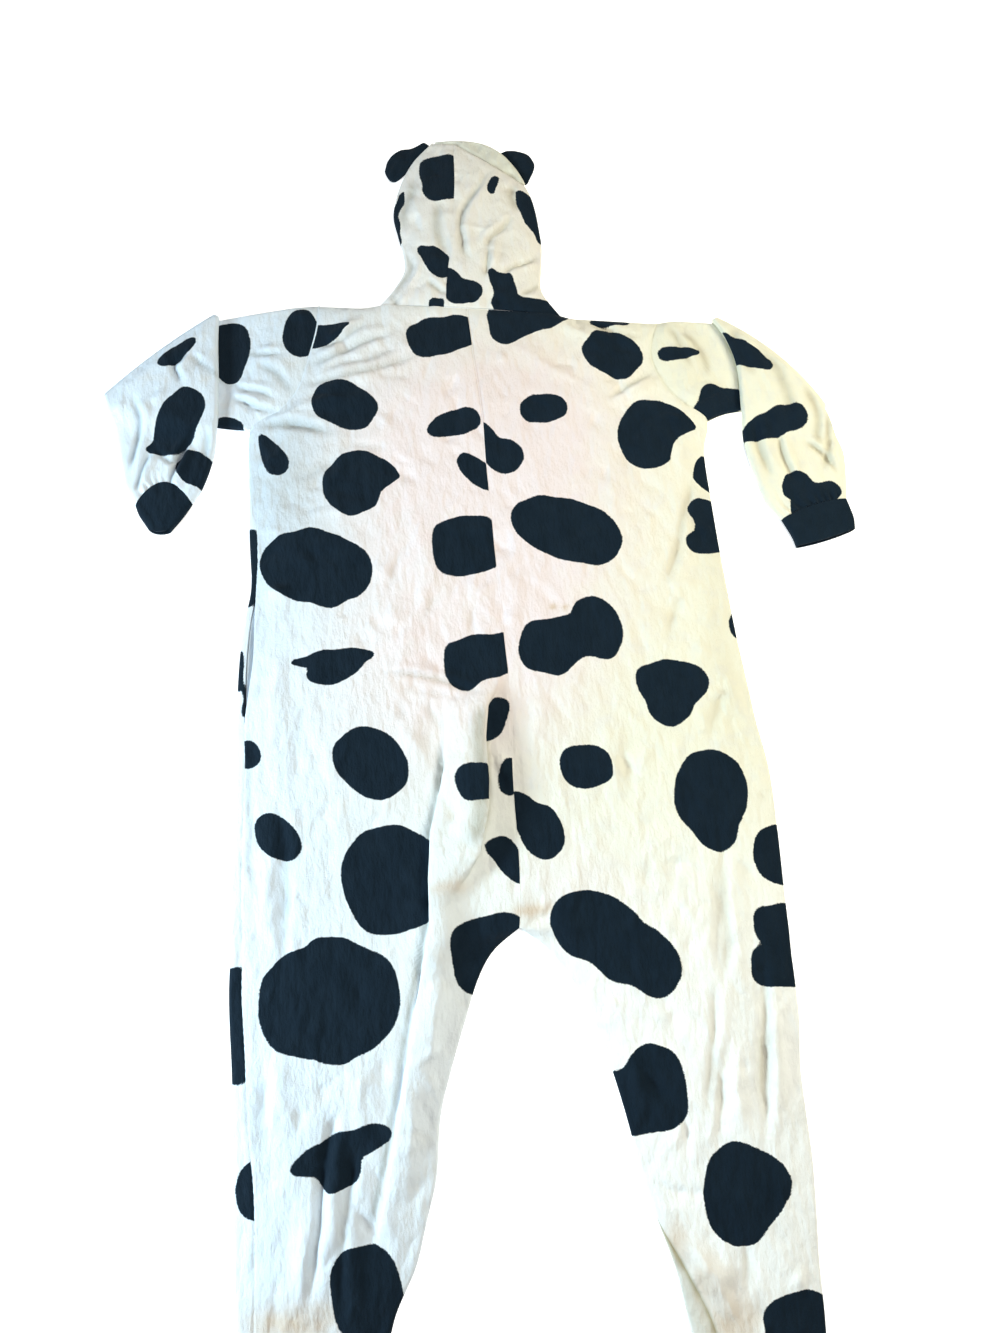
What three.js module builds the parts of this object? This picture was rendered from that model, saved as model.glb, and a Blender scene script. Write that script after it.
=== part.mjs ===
// Cow onesie of printed fleece, laid flat with its back up.
// Units are millimetres, +Z is up, the hood points to +Y and the feet to -Y.
// Every panel is a wall of cloth worked out from the stations in the tables below.

import * as THREE from 'three';

// Driving dimensions
const CLOTH = 2.2; // thickness of the fleece
const LINING = 1.6; // thickness of the pocket bag
const GAP = 0.36; // between neighbouring pieces at a seam
const SIDE_ROLL = 4.5; // outer radius where the cloth turns over at a side edge
const HOOD_ROLL = 5; // the same at the edge of the hood
const RIM_GAP = 0.9; // between the rim strip and the halves of the hood, whose edges are facets
const SHOULDER_HEIGHT = 2 * CLOTH + GAP; // both layers pressed together at the shoulder seam
const SHOULDER_SLOPE = 9; // distance over which the back rises from the shoulder seam
const NECK_HALF = 138; // half width of the neck opening
const RISE_LENGTH = 40; // distance over which the back rises from a side edge
const HOOD_RISE_LENGTH = 30; // the same on the hood
const SLEEVE_HEIGHT = 10; // flattened sleeve, both layers and the air between
const FOLD_CLEARANCE = 1; // between the forearm and the upper arm that it lies on
const FOREARM_DROP = 46; // distance over which the forearm comes down to the surface
const UNDERLAP = 14; // how far each front edge reaches past the centre front
const BUTTON_RADIUS = 8;
const BUTTON_THICKNESS = 2.8;
const BUTTON_SIDES = 12;
const BUTTON_CLEAR = 0.4; // under each button
const BUTTON_ROWS = [1.2, 3.7, 6.6, 8.5, 10.8]; // stations of the five buttons
const EAR_THICKNESS = 7;
const EAR_RIM = 3;

const WHITE = 0xe9e7ec;
const BLACK = 0x17202a;
const BUTTON_WHITE = 0xe4e0d8;
const FLEECE_ROUGHNESS = 0.95;

function table(columns, rows) {
  return rows.map((row) => Object.fromEntries(columns.map((name, i) => [name, row[i]])));
}

// Body stations from the shoulders to the crotch. edge: height of the back's outer edge,
// rise: extra height of the middle, wrap: width of front cloth seen on top of the left edge,
// gape: width of the pocket's mouth.
const BODY = table(
  ['leftX', 'leftY', 'seamX', 'seamY', 'rightX', 'rightY', 'edge', 'rise', 'wrap', 'gape'],
  [
    [-228, 950, 0, 920, 289, 876, 13, 3, 0, 0],
    [-231, 908, 2, 880, 274, 835, 13, 4, 0, 0],
    [-244, 857, 4, 838, 272, 804, 13, 5, 0, 0],
    [-261, 804, 7, 795, 285, 765, 13, 5, 0, 0],
    [-288, 770, 9, 760, 307, 734, 12, 6, 0, 0],
    [-333, 740, 10, 725, 341, 701, 10, 7, 0, 0],
    [-337, 662, 9, 655, 330, 650, 9, 8, 0, 0],
    [-337, 569, 10, 570, 329, 575, 9, 8, 12, 0],
    [-335, 492, 11, 484, 330, 487, 9, 8, 8, 0],
    [-345, 440, 13, 430, 332, 425, 9, 8, 9, 6],
    [-352, 384, 13, 380, 334, 367, 9, 9, 10, 10],
    [-357, 290, 15, 300, 339, 290, 9, 10, 12, 0],
    [-356, 245, 11, 240, 342, 243, 9, 10, 12, 0],
    [-360, 172, 8, 172, 349, 175, 9, 10, 13, 0],
    [-364, 80, 7, 80, 347, 95, 9, 9, 14, 0],
    [-365, 10, 3, 22, 343, 20, 9, 8, 16, 0],
    [-366, -20, 0, 0, 341, -30, 9, 8, 17, 0],
  ],
);

// Leg stations from the crotch to the ankles. hem: width of front cloth that shows on top
// of the right leg's inner edge.
const LEG = table(
  ['leftX', 'leftY', 'leftInX', 'leftInY', 'rightInX', 'rightInY', 'rightX', 'rightY', 'rise', 'wrap', 'hem'],
  [
    [-366, -20, 0, 0, 0, 0, 341, -30, 8, 17, 0],
    [-367, -50, -34, -24, 30, -24, 339, -60, 8, 17, 0],
    [-366, -90, -56, -56, 52, -55, 338, -95, 8, 18, 0],
    [-364, -130, -76, -105, 74, -95, 336, -135, 8, 18, 0],
    [-363, -170, -97, -160, 92, -150, 328, -190, 8, 18, 0],
    [-362, -220, -113, -210, 108, -220, 326, -240, 7, 20, 0],
    [-362, -270, -122, -275, 120, -290, 325, -290, 7, 25, 0],
    [-361, -320, -136, -320, 132, -340, 320, -345, 7, 25, 1],
    [-360, -372, -152, -368, 147, -395, 314, -399, 7, 23, 12],
    [-358, -418, -180, -420, 155, -455, 310, -460, 7, 20, 28],
    [-352, -500, -200, -500, 163, -515, 303, -515, 6, 14, 20],
    [-346, -560, -212, -560, 172, -565, 298, -565, 5, 8, 6],
  ],
);

// Hood stations from the neck to the crown. under: cloth turned below the edge, up to the
// face opening, rise: how far the middle stands above the edge, bow: bend of the right half.
const HOOD = table(
  ['leftX', 'leftY', 'seamX', 'seamY', 'rightX', 'rightY', 'under', 'rise', 'bow'],
  [
    [-135, 938.6, -31, 925.0, 143, 899.4, 70, 8, 0],
    [-108, 972, -29, 955, 119, 945, 66, 9, 0],
    [-92, 1003, -24, 990, 121, 985, 60, 10, 0],
    [-93, 1035, -17, 1030, 126, 1025, 58, 10, 0],
    [-99, 1070, -12, 1070, 125, 1060, 56, 10, 0],
    [-104, 1107, -7, 1112, 123, 1092, 54, 10, 0],
    [-97, 1145, -3, 1150, 120, 1116, 46, 9, 2],
    [-84, 1180, -1, 1185, 117, 1130, 32, 7, 4],
    [-66, 1212, 0, 1214, 114, 1139, 14, 5, 6],
    [-36, 1245, 2, 1236, 111, 1146, 1, 3, 9],
  ],
);

// Rim of the hood along the crown, from its seam with the two halves over the edge.
// inX, inY: direction across the strip, under: cloth below the edge.
const RIM = table(
  ['x', 'y', 'inX', 'inY', 'under'],
  [
    [-29, 1248.2, 0.15, -0.98, 1.5],
    [-8, 1249, 0.1, -0.99, 10],
    [15, 1247.5, -0.05, -1, 16],
    [40, 1242, -0.2, -0.98, 20],
    [62, 1231, -0.45, -0.89, 22],
    [82, 1212, -0.7, -0.71, 20],
    [98, 1186, -0.86, -0.5, 16],
    [107, 1166, -0.93, -0.36, 9],
    [110.8, 1154, -0.95, -0.3, 1.5],
  ],
);

// Sleeve stations. a is the shoulder edge and b the underarm edge. The upper arm ends, and
// the forearm starts, at the line over which the sleeve is turned back on itself.
const SLEEVE_COLUMNS = ['aX', 'aY', 'bX', 'bY', 'height', 'bow'];
const LEFT_UPPER = table(SLEEVE_COLUMNS, [
  [-228, 950, -333, 740, 12, 0],
  [-278, 946, -386, 750, 11, 0],
  [-328, 941, -460, 775, 10, 0],
  [-378, 934, -545, 804, 10, 6],
]);
const LEFT_FOREARM = table(SLEEVE_COLUMNS, [
  [-378, 934, -545, 804, 10, 6],
  [-379, 886, -541, 780, 10, 3],
  [-378, 820, -532, 752, 11, 0],
  [-379, 756, -523, 706, 11, 0],
  [-387, 702, -516, 668, 12, 10],
  [-403, 652, -508, 644, 12, 24],
  [-418, 627, -500, 630, 12, 34],
]);
const RIGHT_UPPER = table(SLEEVE_COLUMNS, [
  [289, 876, 341, 701, 12, 0],
  [316, 875, 378, 712, 11, 0],
  [344, 872, 440, 712, 10, 4],
  [371, 867, 513, 700, 10, 16],
]);
const RIGHT_FOREARM = table(SLEEVE_COLUMNS, [
  [371, 867, 513, 700, 10, 16],
  [387, 832, 519, 684, 10, 12],
  [396, 780, 526, 660, 11, 6],
  [392, 718, 533, 634, 11, 0],
  [390, 666, 532, 612, 12, 0],
  [397, 606, 529, 588, 12, 0],
  [408, 558, 526, 570, 12, 0],
  [425, 533, 524, 557, 12, 6],
]);

// Cuff stations, from the seam to the mouth.
const LEFT_CUFF = table(SLEEVE_COLUMNS, [
  [-418, 626.3, -500, 629.3, 12, 34],
  [-427, 613, -495, 616, 12, 22],
  [-437, 600, -488, 604, 12, 8],
  [-448, 588, -480, 591, 11, -4],
]);
const RIGHT_CUFF = table(SLEEVE_COLUMNS, [
  [425.1, 532.3, 524.1, 556.3, 12, 6],
  [431, 518, 527, 541, 12, 4],
  [436, 504, 529, 527, 12, 1],
  [439, 490, 528, 511, 11, -3],
]);
const LEFT_ANKLE = table(SLEEVE_COLUMNS, [
  [-346, -560.6, -212, -560.6, 13, 0],
  [-338, -574, -222, -574, 15, 0],
  [-334, -600, -228, -600, 16, 0],
  [-333, -622, -230, -622, 16, 0],
]);
const RIGHT_ANKLE = table(SLEEVE_COLUMNS, [
  [172, -565.6, 298, -565.6, 13, 0],
  [182, -579, 290, -579, 15, 0],
  [187, -604, 286, -604, 16, 0],
  [188, -622, 285, -622, 16, 0],
]);

// Ears: a row for each cross line from the hood to the tip.
const EAR_COLUMNS = ['aX', 'aY', 'bX', 'bY', 'bow'];
const LEFT_EAR = table(EAR_COLUMNS, [
  [-75, 1201, -37.5, 1246.5, 0],
  [-86, 1192, -46, 1253, 0],
  [-98, 1185, -60, 1249, 0],
  [-107, 1187, -78, 1240, 0],
  [-113, 1196, -97, 1228, 0],
  [-113, 1206, -108, 1216, 0],
]);
const RIGHT_EAR = table(EAR_COLUMNS, [
  [74.4, 1221.8, 112, 1155.2, 3.6],
  [86, 1226, 120, 1154, 3],
  [99, 1227, 126, 1159, 2],
  [112, 1222, 130, 1168, 1],
  [121, 1214, 133, 1180, 0],
  [127, 1204, 132, 1192, 0],
]);

// Main folds of the back as soft ridges, or troughs where height is negative.
const FOLDS = table(['x1', 'y1', 'x2', 'y2', 'width', 'height'], [
  [-26, 300, -20, 120, 14, 9],
  [-12, 310, -10, 150, 9, -5],
  [-20, 120, -62, 62, 12, 8],
  [-70, 190, -96, 90, 12, 8],
  [-96, 90, -112, -90, 13, 8],
  [-112, -90, -160, -300, 14, 8],
  [-84, 150, -84, -20, 14, -4],
  [-205, -255, -232, -400, 14, 8],
  [-172, 330, -40, 318, 13, 7],
  [-215, 905, -120, 830, 15, 6],
  [-260, 820, -130, 790, 14, 6],
  [-120, 880, -30, 800, 16, 5],
  [-300, 770, -190, 745, 13, 6],
  [130, 880, 240, 800, 15, 6],
  [90, 850, 180, 770, 16, 4],
  [235, 690, 250, 420, 18, 6],
  [282, 560, 295, 330, 14, 5],
  [268, 140, 262, -240, 15, 6],
  [210, 250, 205, -20, 14, -4],
  [300, -40, 306, -300, 13, 5],
  [-300, 420, -305, 80, 15, 5],
  [-258, 330, -262, 60, 14, -4],
  [200, -330, 270, -430, 16, 6],
  [60, 700, 84, 560, 20, 3],
  [-90, 600, -70, 430, 20, 4],
]);

// Value of every column at a fractional station, by a Catmull-Rom curve through the rows.
function read(rows, t) {
  const last = rows.length - 1;
  const k = Math.min(Math.floor(t), last - 1);
  const f = t - k;
  const p = [rows[Math.max(k - 1, 0)], rows[k], rows[k + 1], rows[Math.min(k + 2, last)]];
  const value = {};
  for (const name of Object.keys(rows[0])) {
    const [a, b, c, d] = p.map((row) => row[name]);
    const slope0 = (c - a) / 2;
    const slope1 = (d - b) / 2;
    value[name] = b + f * slope0 + f * f * (3 * (c - b) - 2 * slope0 - slope1)
      + f * f * f * (2 * (b - c) + slope0 + slope1);
  }
  return value;
}

function smooth(x) {
  const c = Math.min(Math.max(x, 0), 1);
  return c * c * (3 - 2 * c);
}

function mix(a, b, f) {
  return a + (b - a) * f;
}

// Distance from a point to a line between two others, and how far along it falls (0 to 1).
function nearLine(x, y, x1, y1, x2, y2) {
  const dx = x2 - x1;
  const dy = y2 - y1;
  const along = ((x - x1) * dx + (y - y1) * dy) / (dx * dx + dy * dy);
  const c = Math.min(Math.max(along, 0), 1);
  return { distance: Math.hypot(x - x1 - c * dx, y - y1 - c * dy), along };
}

function foldHeight(x, y) {
  let sum = 0;
  for (const fold of FOLDS) {
    const near = nearLine(x, y, fold.x1, fold.y1, fold.x2, fold.y2);
    sum += fold.height * Math.exp(-((near.distance / fold.width) ** 2));
  }
  return sum;
}

// Wall between two grids of points: both faces and the rims. A wrapped grid is a tube,
// joined along its first and last columns.
function wall(name, colour, outer, inner, wrapped = false) {
  const rows = outer.length;
  const columns = outer[0].length;
  const points = [...outer.flat(), ...inner.flat()].flat();
  const top = (i, j) => i * columns + (j % columns);
  const low = (i, j) => rows * columns + top(i, j);
  const triangles = [];
  const quad = (a, b, c, d) => triangles.push(a, b, c, a, c, d);
  const spans = wrapped ? columns : columns - 1;
  for (let i = 0; i < rows - 1; i += 1) {
    for (let j = 0; j < spans; j += 1) {
      quad(top(i, j), top(i, j + 1), top(i + 1, j + 1), top(i + 1, j));
      quad(low(i, j), low(i + 1, j), low(i + 1, j + 1), low(i, j + 1));
    }
  }
  for (let j = 0; j < spans; j += 1) {
    quad(top(0, j), low(0, j), low(0, j + 1), top(0, j + 1));
    quad(top(rows - 1, j + 1), low(rows - 1, j + 1), low(rows - 1, j), top(rows - 1, j));
  }
  for (let i = 0; i < rows - 1 && !wrapped; i += 1) {
    quad(top(i + 1, 0), low(i + 1, 0), low(i, 0), top(i, 0));
    quad(top(i, spans), low(i, spans), low(i + 1, spans), top(i + 1, spans));
  }
  const geometry = new THREE.BufferGeometry();
  geometry.setAttribute('position', new THREE.Float32BufferAttribute(points, 3));
  geometry.setIndex(signedVolume(points, triangles) < 0 ? triangles.reverse() : triangles);
  geometry.computeVertexNormals();
  return meshOf(name, colour, geometry);
}

function signedVolume(points, triangles) {
  const corner = (k) => new THREE.Vector3().fromArray(points, 3 * triangles[k]);
  let sum = 0;
  for (let k = 0; k < triangles.length; k += 3) {
    sum += corner(k).dot(corner(k + 1).cross(corner(k + 2)));
  }
  return sum;
}

function meshOf(name, colour, geometry) {
  const material = new THREE.MeshStandardMaterial({
    color: colour,
    roughness: FLEECE_ROUGHNESS,
    metalness: 0,
  });
  const mesh = new THREE.Mesh(geometry, material);
  mesh.name = name;
  return mesh;
}

// Rows shared by the four body panels, so that their seams have the same points
const BODY_ROWS = [0, 0.3, 0.7, 1, 2, 3, 4, 5, 5.3, 6, 7, 8, 8.5, 9, 9.5, 10, 10.5, 11, 12, 13, 13.5,
  14, 15, 16];
const LEG_ROWS = [0.4, 1, 2, 3, 4, 5, 6, 7, 8, 9, 10, 11];
const UNDERARM = 5;
const ARMHOLE_ROWS = BODY_ROWS.filter((t) => t <= UNDERARM);

// One row of the left or right half: its two ends, and what each edge does there.
function bodyRow(side, t) {
  const s = read(BODY, t);
  const left = side === 'left';
  return {
    t,
    outer: left ? [s.leftX, s.leftY] : [s.rightX, s.rightY],
    inner: [s.seamX, s.seamY],
    edge: t > UNDERARM ? 2 * SIDE_ROLL : s.edge,
    rise: s.rise,
    outerRoll: t > UNDERARM ? SIDE_ROLL : 0,
    innerRoll: 0,
    wrap: left ? Math.max(s.wrap, 0) : 0,
    gape: left ? Math.max(s.gape, 0) : 0,
    hem: 0,
  };
}

function legRow(side, t) {
  const s = read(LEG, t);
  const left = side === 'left';
  return {
    t: BODY.length - 1 + t,
    outer: left ? [s.leftX, s.leftY] : [s.rightX, s.rightY],
    inner: left ? [s.leftInX, s.leftInY] : [s.rightInX, s.rightInY],
    edge: 2 * SIDE_ROLL,
    rise: s.rise,
    outerRoll: SIDE_ROLL,
    innerRoll: SIDE_ROLL,
    wrap: left ? s.wrap : 0,
    gape: 0,
    hem: left ? 0 : Math.max(s.hem, 0),
  };
}

function halfRows(side) {
  return [...BODY_ROWS.map((t) => bodyRow(side, t)), ...LEG_ROWS.map((t) => legRow(side, t))];
}

// Height of the back above the surface it lies on
function backHeight(row, x, y, fromOuter, fromInner) {
  const outerPart = 1 - Math.exp(-fromOuter / RISE_LENGTH);
  const innerPart = row.innerRoll > 0 ? 1 - Math.exp(-fromInner / RISE_LENGTH) : 1;
  let height = row.edge + row.rise * outerPart * innerPart;
  height += foldHeight(x, y) * smooth(fromOuter / 30) * (row.innerRoll > 0 ? smooth(fromInner / 30) : 1);
  const shoulder = BODY[0];
  const end = x < 0 ? [shoulder.leftX, shoulder.leftY] : [shoulder.rightX, shoulder.rightY];
  const below = nearLine(x, y, shoulder.seamX, shoulder.seamY, ...end).distance;
  const pressed = smooth((Math.abs(x) - NECK_HALF + 20) / 50) * Math.exp(-below / SHOULDER_SLOPE);
  return mix(height, SHOULDER_HEIGHT, pressed);
}

// A point of a row at q, the distance along the cloth from the outline. q is positive on
// top of the garment and negative below it; inset moves the point into the wall.
function rowPoint(row, end, q, inset) {
  const width = Math.hypot(row.inner[0] - row.outer[0], row.inner[1] - row.outer[1]);
  const dir = [(row.inner[0] - row.outer[0]) / width, (row.inner[1] - row.outer[1]) / width];
  const roll = end === 'outer' ? row.outerRoll : row.innerRoll;
  const quarter = roll * Math.PI / 2;
  const far = Math.abs(q);
  const turning = far < quarter;
  const angle = turning ? far / roll : Math.PI / 2;
  const along = turning ? roll - (roll - inset) * Math.cos(angle) : far - quarter + roll;
  const place = end === 'outer' ? along : width - along;
  const x = row.outer[0] + dir[0] * place;
  const y = row.outer[1] + dir[1] * place;
  if (turning) {
    const bulge = (roll - inset) * Math.sin(angle);
    return [x, y, roll + (q > 0 ? bulge : -bulge)];
  }
  if (q < 0) return [x, y, inset];
  const fromOuter = Math.max(place - row.outerRoll, 0);
  const fromInner = Math.max(width - place - row.innerRoll, 0);
  return [x, y, backHeight(row, x, y, fromOuter, fromInner) - inset];
}

function widthOf(row) {
  return Math.hypot(row.inner[0] - row.outer[0], row.inner[1] - row.outer[1]);
}

// How far along the cloth a seam lies that shows this far inside the outline
function seamAt(shown, roll) {
  return shown > roll ? shown - roll + roll * Math.PI / 2 : roll * Math.acos(1 - shown / Math.max(roll, 1));
}

const EDGE_STEPS = [0, 3, 8];
const BACK_FRACTIONS = [0.08, 0.19, 0.31, 0.43, 0.54, 0.64, 0.73, 0.81, 0.88, 0.94];

function backPanel(side) {
  const grid = (inset) => halfRows(side).map((row) => {
    const outerSeam = seamAt(row.wrap, row.outerRoll) + row.gape + GAP / 2;
    const innerSeam = seamAt(row.hem, row.innerRoll) + GAP / 2;
    const first = outerSeam + EDGE_STEPS[2];
    const last = widthOf(row) - innerSeam - EDGE_STEPS[2];
    return [
      ...EDGE_STEPS.map((step) => rowPoint(row, 'outer', outerSeam + step, inset)),
      ...BACK_FRACTIONS.map((f) => rowPoint(row, 'outer', mix(first, last, f), inset)),
      ...[...EDGE_STEPS].reverse().map((step) => rowPoint(row, 'inner', innerSeam + step, inset)),
    ];
  });
  return wall(`back_${side}`, WHITE, grid(0), grid(CLOTH));
}

// Centre front: the right edge lies under the left one, both raised over the buttons.
const PLACKET_END = 13;
const PLACKET_LIFT = BUTTON_CLEAR + BUTTON_THICKNESS + GAP;
const PLACKET_SPREAD = 18; // distance over which the raised strip comes down
const FRONT_CENTRE = [34, 24, 15]; // columns beside the overlap, from the centre line

function frontLift(side, row, x) {
  const own = side === 'right' ? PLACKET_LIFT : PLACKET_LIFT + CLOTH + 2 * GAP;
  const flat = UNDERLAP + 1;
  const across = 1 - smooth((Math.abs(x - row.inner[0]) - flat) / PLACKET_SPREAD);
  return own * across * (1 - smooth(row.t - PLACKET_END - 1));
}

function frontPanel(side) {
  const turn = [0, 0.17, 0.34, 0.5, 0.7, 1];
  const grid = (inset) => halfRows(side).map((row) => {
    const outerSeam = seamAt(row.wrap, row.outerRoll) - GAP / 2;
    const outerFlat = -row.outerRoll * Math.PI / 2 - 12;
    const isLeg = row.innerRoll > 0;
    const innerSeam = seamAt(row.hem, row.innerRoll) - GAP / 2;
    const innerFlat = -row.innerRoll * Math.PI / 2 - 12;
    const overlap = mix(UNDERLAP, -GAP / 2, smooth(row.t - PLACKET_END));
    const first = -outerFlat;
    const last = widthOf(row) - (isLeg ? -innerFlat : FRONT_CENTRE[0]);
    const points = [
      ...turn.map((f) => rowPoint(row, 'outer', mix(outerSeam, outerFlat, f), inset)),
      ...[0.33, 0.67].map((f) => rowPoint(row, 'outer', -mix(first, last, f), inset)),
    ];
    if (isLeg) {
      const back = [...turn].reverse();
      return [...points, ...back.map((f) => rowPoint(row, 'inner', mix(innerSeam, innerFlat, f), inset))];
    }
    const innermost = FRONT_CENTRE[FRONT_CENTRE.length - 1];
    const middle = [...FRONT_CENTRE, ...[0.33, 0.67, 1].map((f) => mix(innermost, -overlap, f))];
    for (const inside of middle) {
      const place = widthOf(row) - inside;
      const point = rowPoint(row, 'outer', -(place - row.outerRoll + row.outerRoll * Math.PI / 2), inset);
      point[2] += frontLift(side, row, point[0]);
      points.push(point);
    }
    return points;
  });
  return wall(`front_${side}`, WHITE, grid(0), grid(CLOTH));
}

function button(index, t) {
  const s = read(BODY, t);
  const r = BUTTON_RADIUS;
  const h = BUTTON_THICKNESS;
  const profile = [[0, 0], [r - 1, 0], [r, h / 2], [r - 1, h], [0, h]];
  const points = profile.map(([x, y]) => new THREE.Vector2(x, y));
  const geometry = new THREE.LatheGeometry(points, BUTTON_SIDES);
  geometry.rotateX(Math.PI / 2);
  const mesh = meshOf(`button_${index + 1}`, BUTTON_WHITE, geometry);
  mesh.position.set(s.seamX, s.seamY, BUTTON_CLEAR);
  return mesh;
}

// Section of the pocket bag from its front lip, round the fold inside, to its back lip.
// mouth: 0 for a place from the front edge of the mouth and 1 from the back one, across and
// height: the place where the mouth is shut, slide and lift: what an open mouth adds to it.
const POCKET = table(
  ['mouth', 'across', 'slide', 'height', 'lift'],
  [
    [0, 1.6, 0, 4, 3.4],
    [0, 3.4, 0, 3.7, 1.5],
    [0, 9, 0, 3.5, 0],
    [0, 45, 0, 3.4, 0],
    [0, 118, 0, 3.4, 0],
    [0, 119.2, 0, 4.65, 0],
    [0, 118, 0, 5.9, 0],
    [0, 45, 0, 5.9, 0],
    [1, 12, 0, 5.7, 0],
    [1, 6, -2.5, 5.7, 0],
    [1, 4.5, -3, 5.7, 0],
  ],
);
const POCKET_ROWS = [8.3, 8.6, 9, 9.5, 10, 10.5, 10.9];
const POCKET_OPEN = 6; // width from which the mouth counts as open

// Pocket bag in the left side seam: a hairpin of lining whose ends are the mouth's edges.
function pocket() {
  const rows = POCKET_ROWS.map((t) => bodyRow('left', t));
  const half = LINING / 2;
  const section = (row) => {
    const open = Math.min(row.gape / POCKET_OPEN, 1);
    return POCKET.map((p) => {
      const across = row.wrap + p.mouth * row.gape + p.across + p.slide * open;
      return [across, p.height + p.lift * open];
    });
  };
  const grid = (offset) => rows.map((row) => {
    const points = section(row);
    const width = widthOf(row);
    const dir = [(row.inner[0] - row.outer[0]) / width, (row.inner[1] - row.outer[1]) / width];
    return points.map(([u, z], k) => {
      const before = points[Math.max(k - 1, 0)];
      const after = points[Math.min(k + 1, points.length - 1)];
      const length = Math.hypot(after[0] - before[0], after[1] - before[1]);
      const across = u - offset * (after[1] - before[1]) / length;
      const height = z + offset * (after[0] - before[0]) / length;
      return [row.outer[0] + dir[0] * across, row.outer[1] + dir[1] * across, height];
    });
  });
  return wall('pocket_left', WHITE, grid(half), grid(-half));
}

// Ring of a flattened tube: the top from edge a to edge b, the rounded edge at b, the
// bottom back to a and the rounded edge at a. Each entry is the place across (0 to 1), the
// share of the half height, and the turn at a rounded edge.
const EDGE_TURNS = [Math.PI / 4, 0, -Math.PI / 4];
function ring(places) {
  const top = places.map((c) => ({ c, level: 1, turn: null }));
  const edgeB = EDGE_TURNS.map((turn) => ({ c: 1, level: 0, turn }));
  const low = [...places].reverse().map((c) => ({ c, level: -1, turn: null }));
  const edgeA = [...EDGE_TURNS].reverse().map((turn) => ({ c: 0, level: 0, turn }));
  return [...top, ...edgeB, ...low, ...edgeA];
}

// Point of a tube's ring. frame gives the ring's ends, half height, normal and middle height.
function ringPoint(frame, item, inset) {
  const half = frame.half;
  const length = Math.hypot(frame.b[0] - frame.a[0], frame.b[1] - frame.a[1]);
  const dir = [(frame.b[0] - frame.a[0]) / length, (frame.b[1] - frame.a[1]) / length];
  let along = half + item.c * (length - 2 * half);
  let level = item.level * (half - inset);
  if (item.turn !== null) {
    const reach = (half - inset) * Math.cos(item.turn);
    along = item.c > 0.5 ? length - half + reach : half - reach;
    level = (half - inset) * Math.sin(item.turn);
  }
  const share = along / length;
  const bow = frame.bow * 4 * share * (1 - share);
  const x = frame.a[0] + dir[0] * along + frame.out[0] * bow;
  const y = frame.a[1] + dir[1] * along + frame.out[1] * bow;
  const middle = frame.middle(x, y);
  return [x + frame.normal[0] * level, y + frame.normal[1] * level, middle + frame.normal[2] * level];
}

// Unit vector in the plan, square to the line a to b, on the side that points away.
function outward(s, sign) {
  const length = Math.hypot(s.bX - s.aX, s.bY - s.aY);
  return [sign * (s.bY - s.aY) / length, -sign * (s.bX - s.aX) / length];
}

// Places of a sleeve's columns, the same share of the way round as the armhole's rows
function acrossSleeve(side) {
  const seam = ARMHOLE_ROWS.map((t) => bodyRow(side, t).outer);
  const reach = [0];
  for (let k = 1; k < seam.length; k += 1) {
    reach.push(reach[k - 1] + Math.hypot(seam[k][0] - seam[k - 1][0], seam[k][1] - seam[k - 1][1]));
  }
  return reach.map((r) => r / reach[reach.length - 1]);
}

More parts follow.
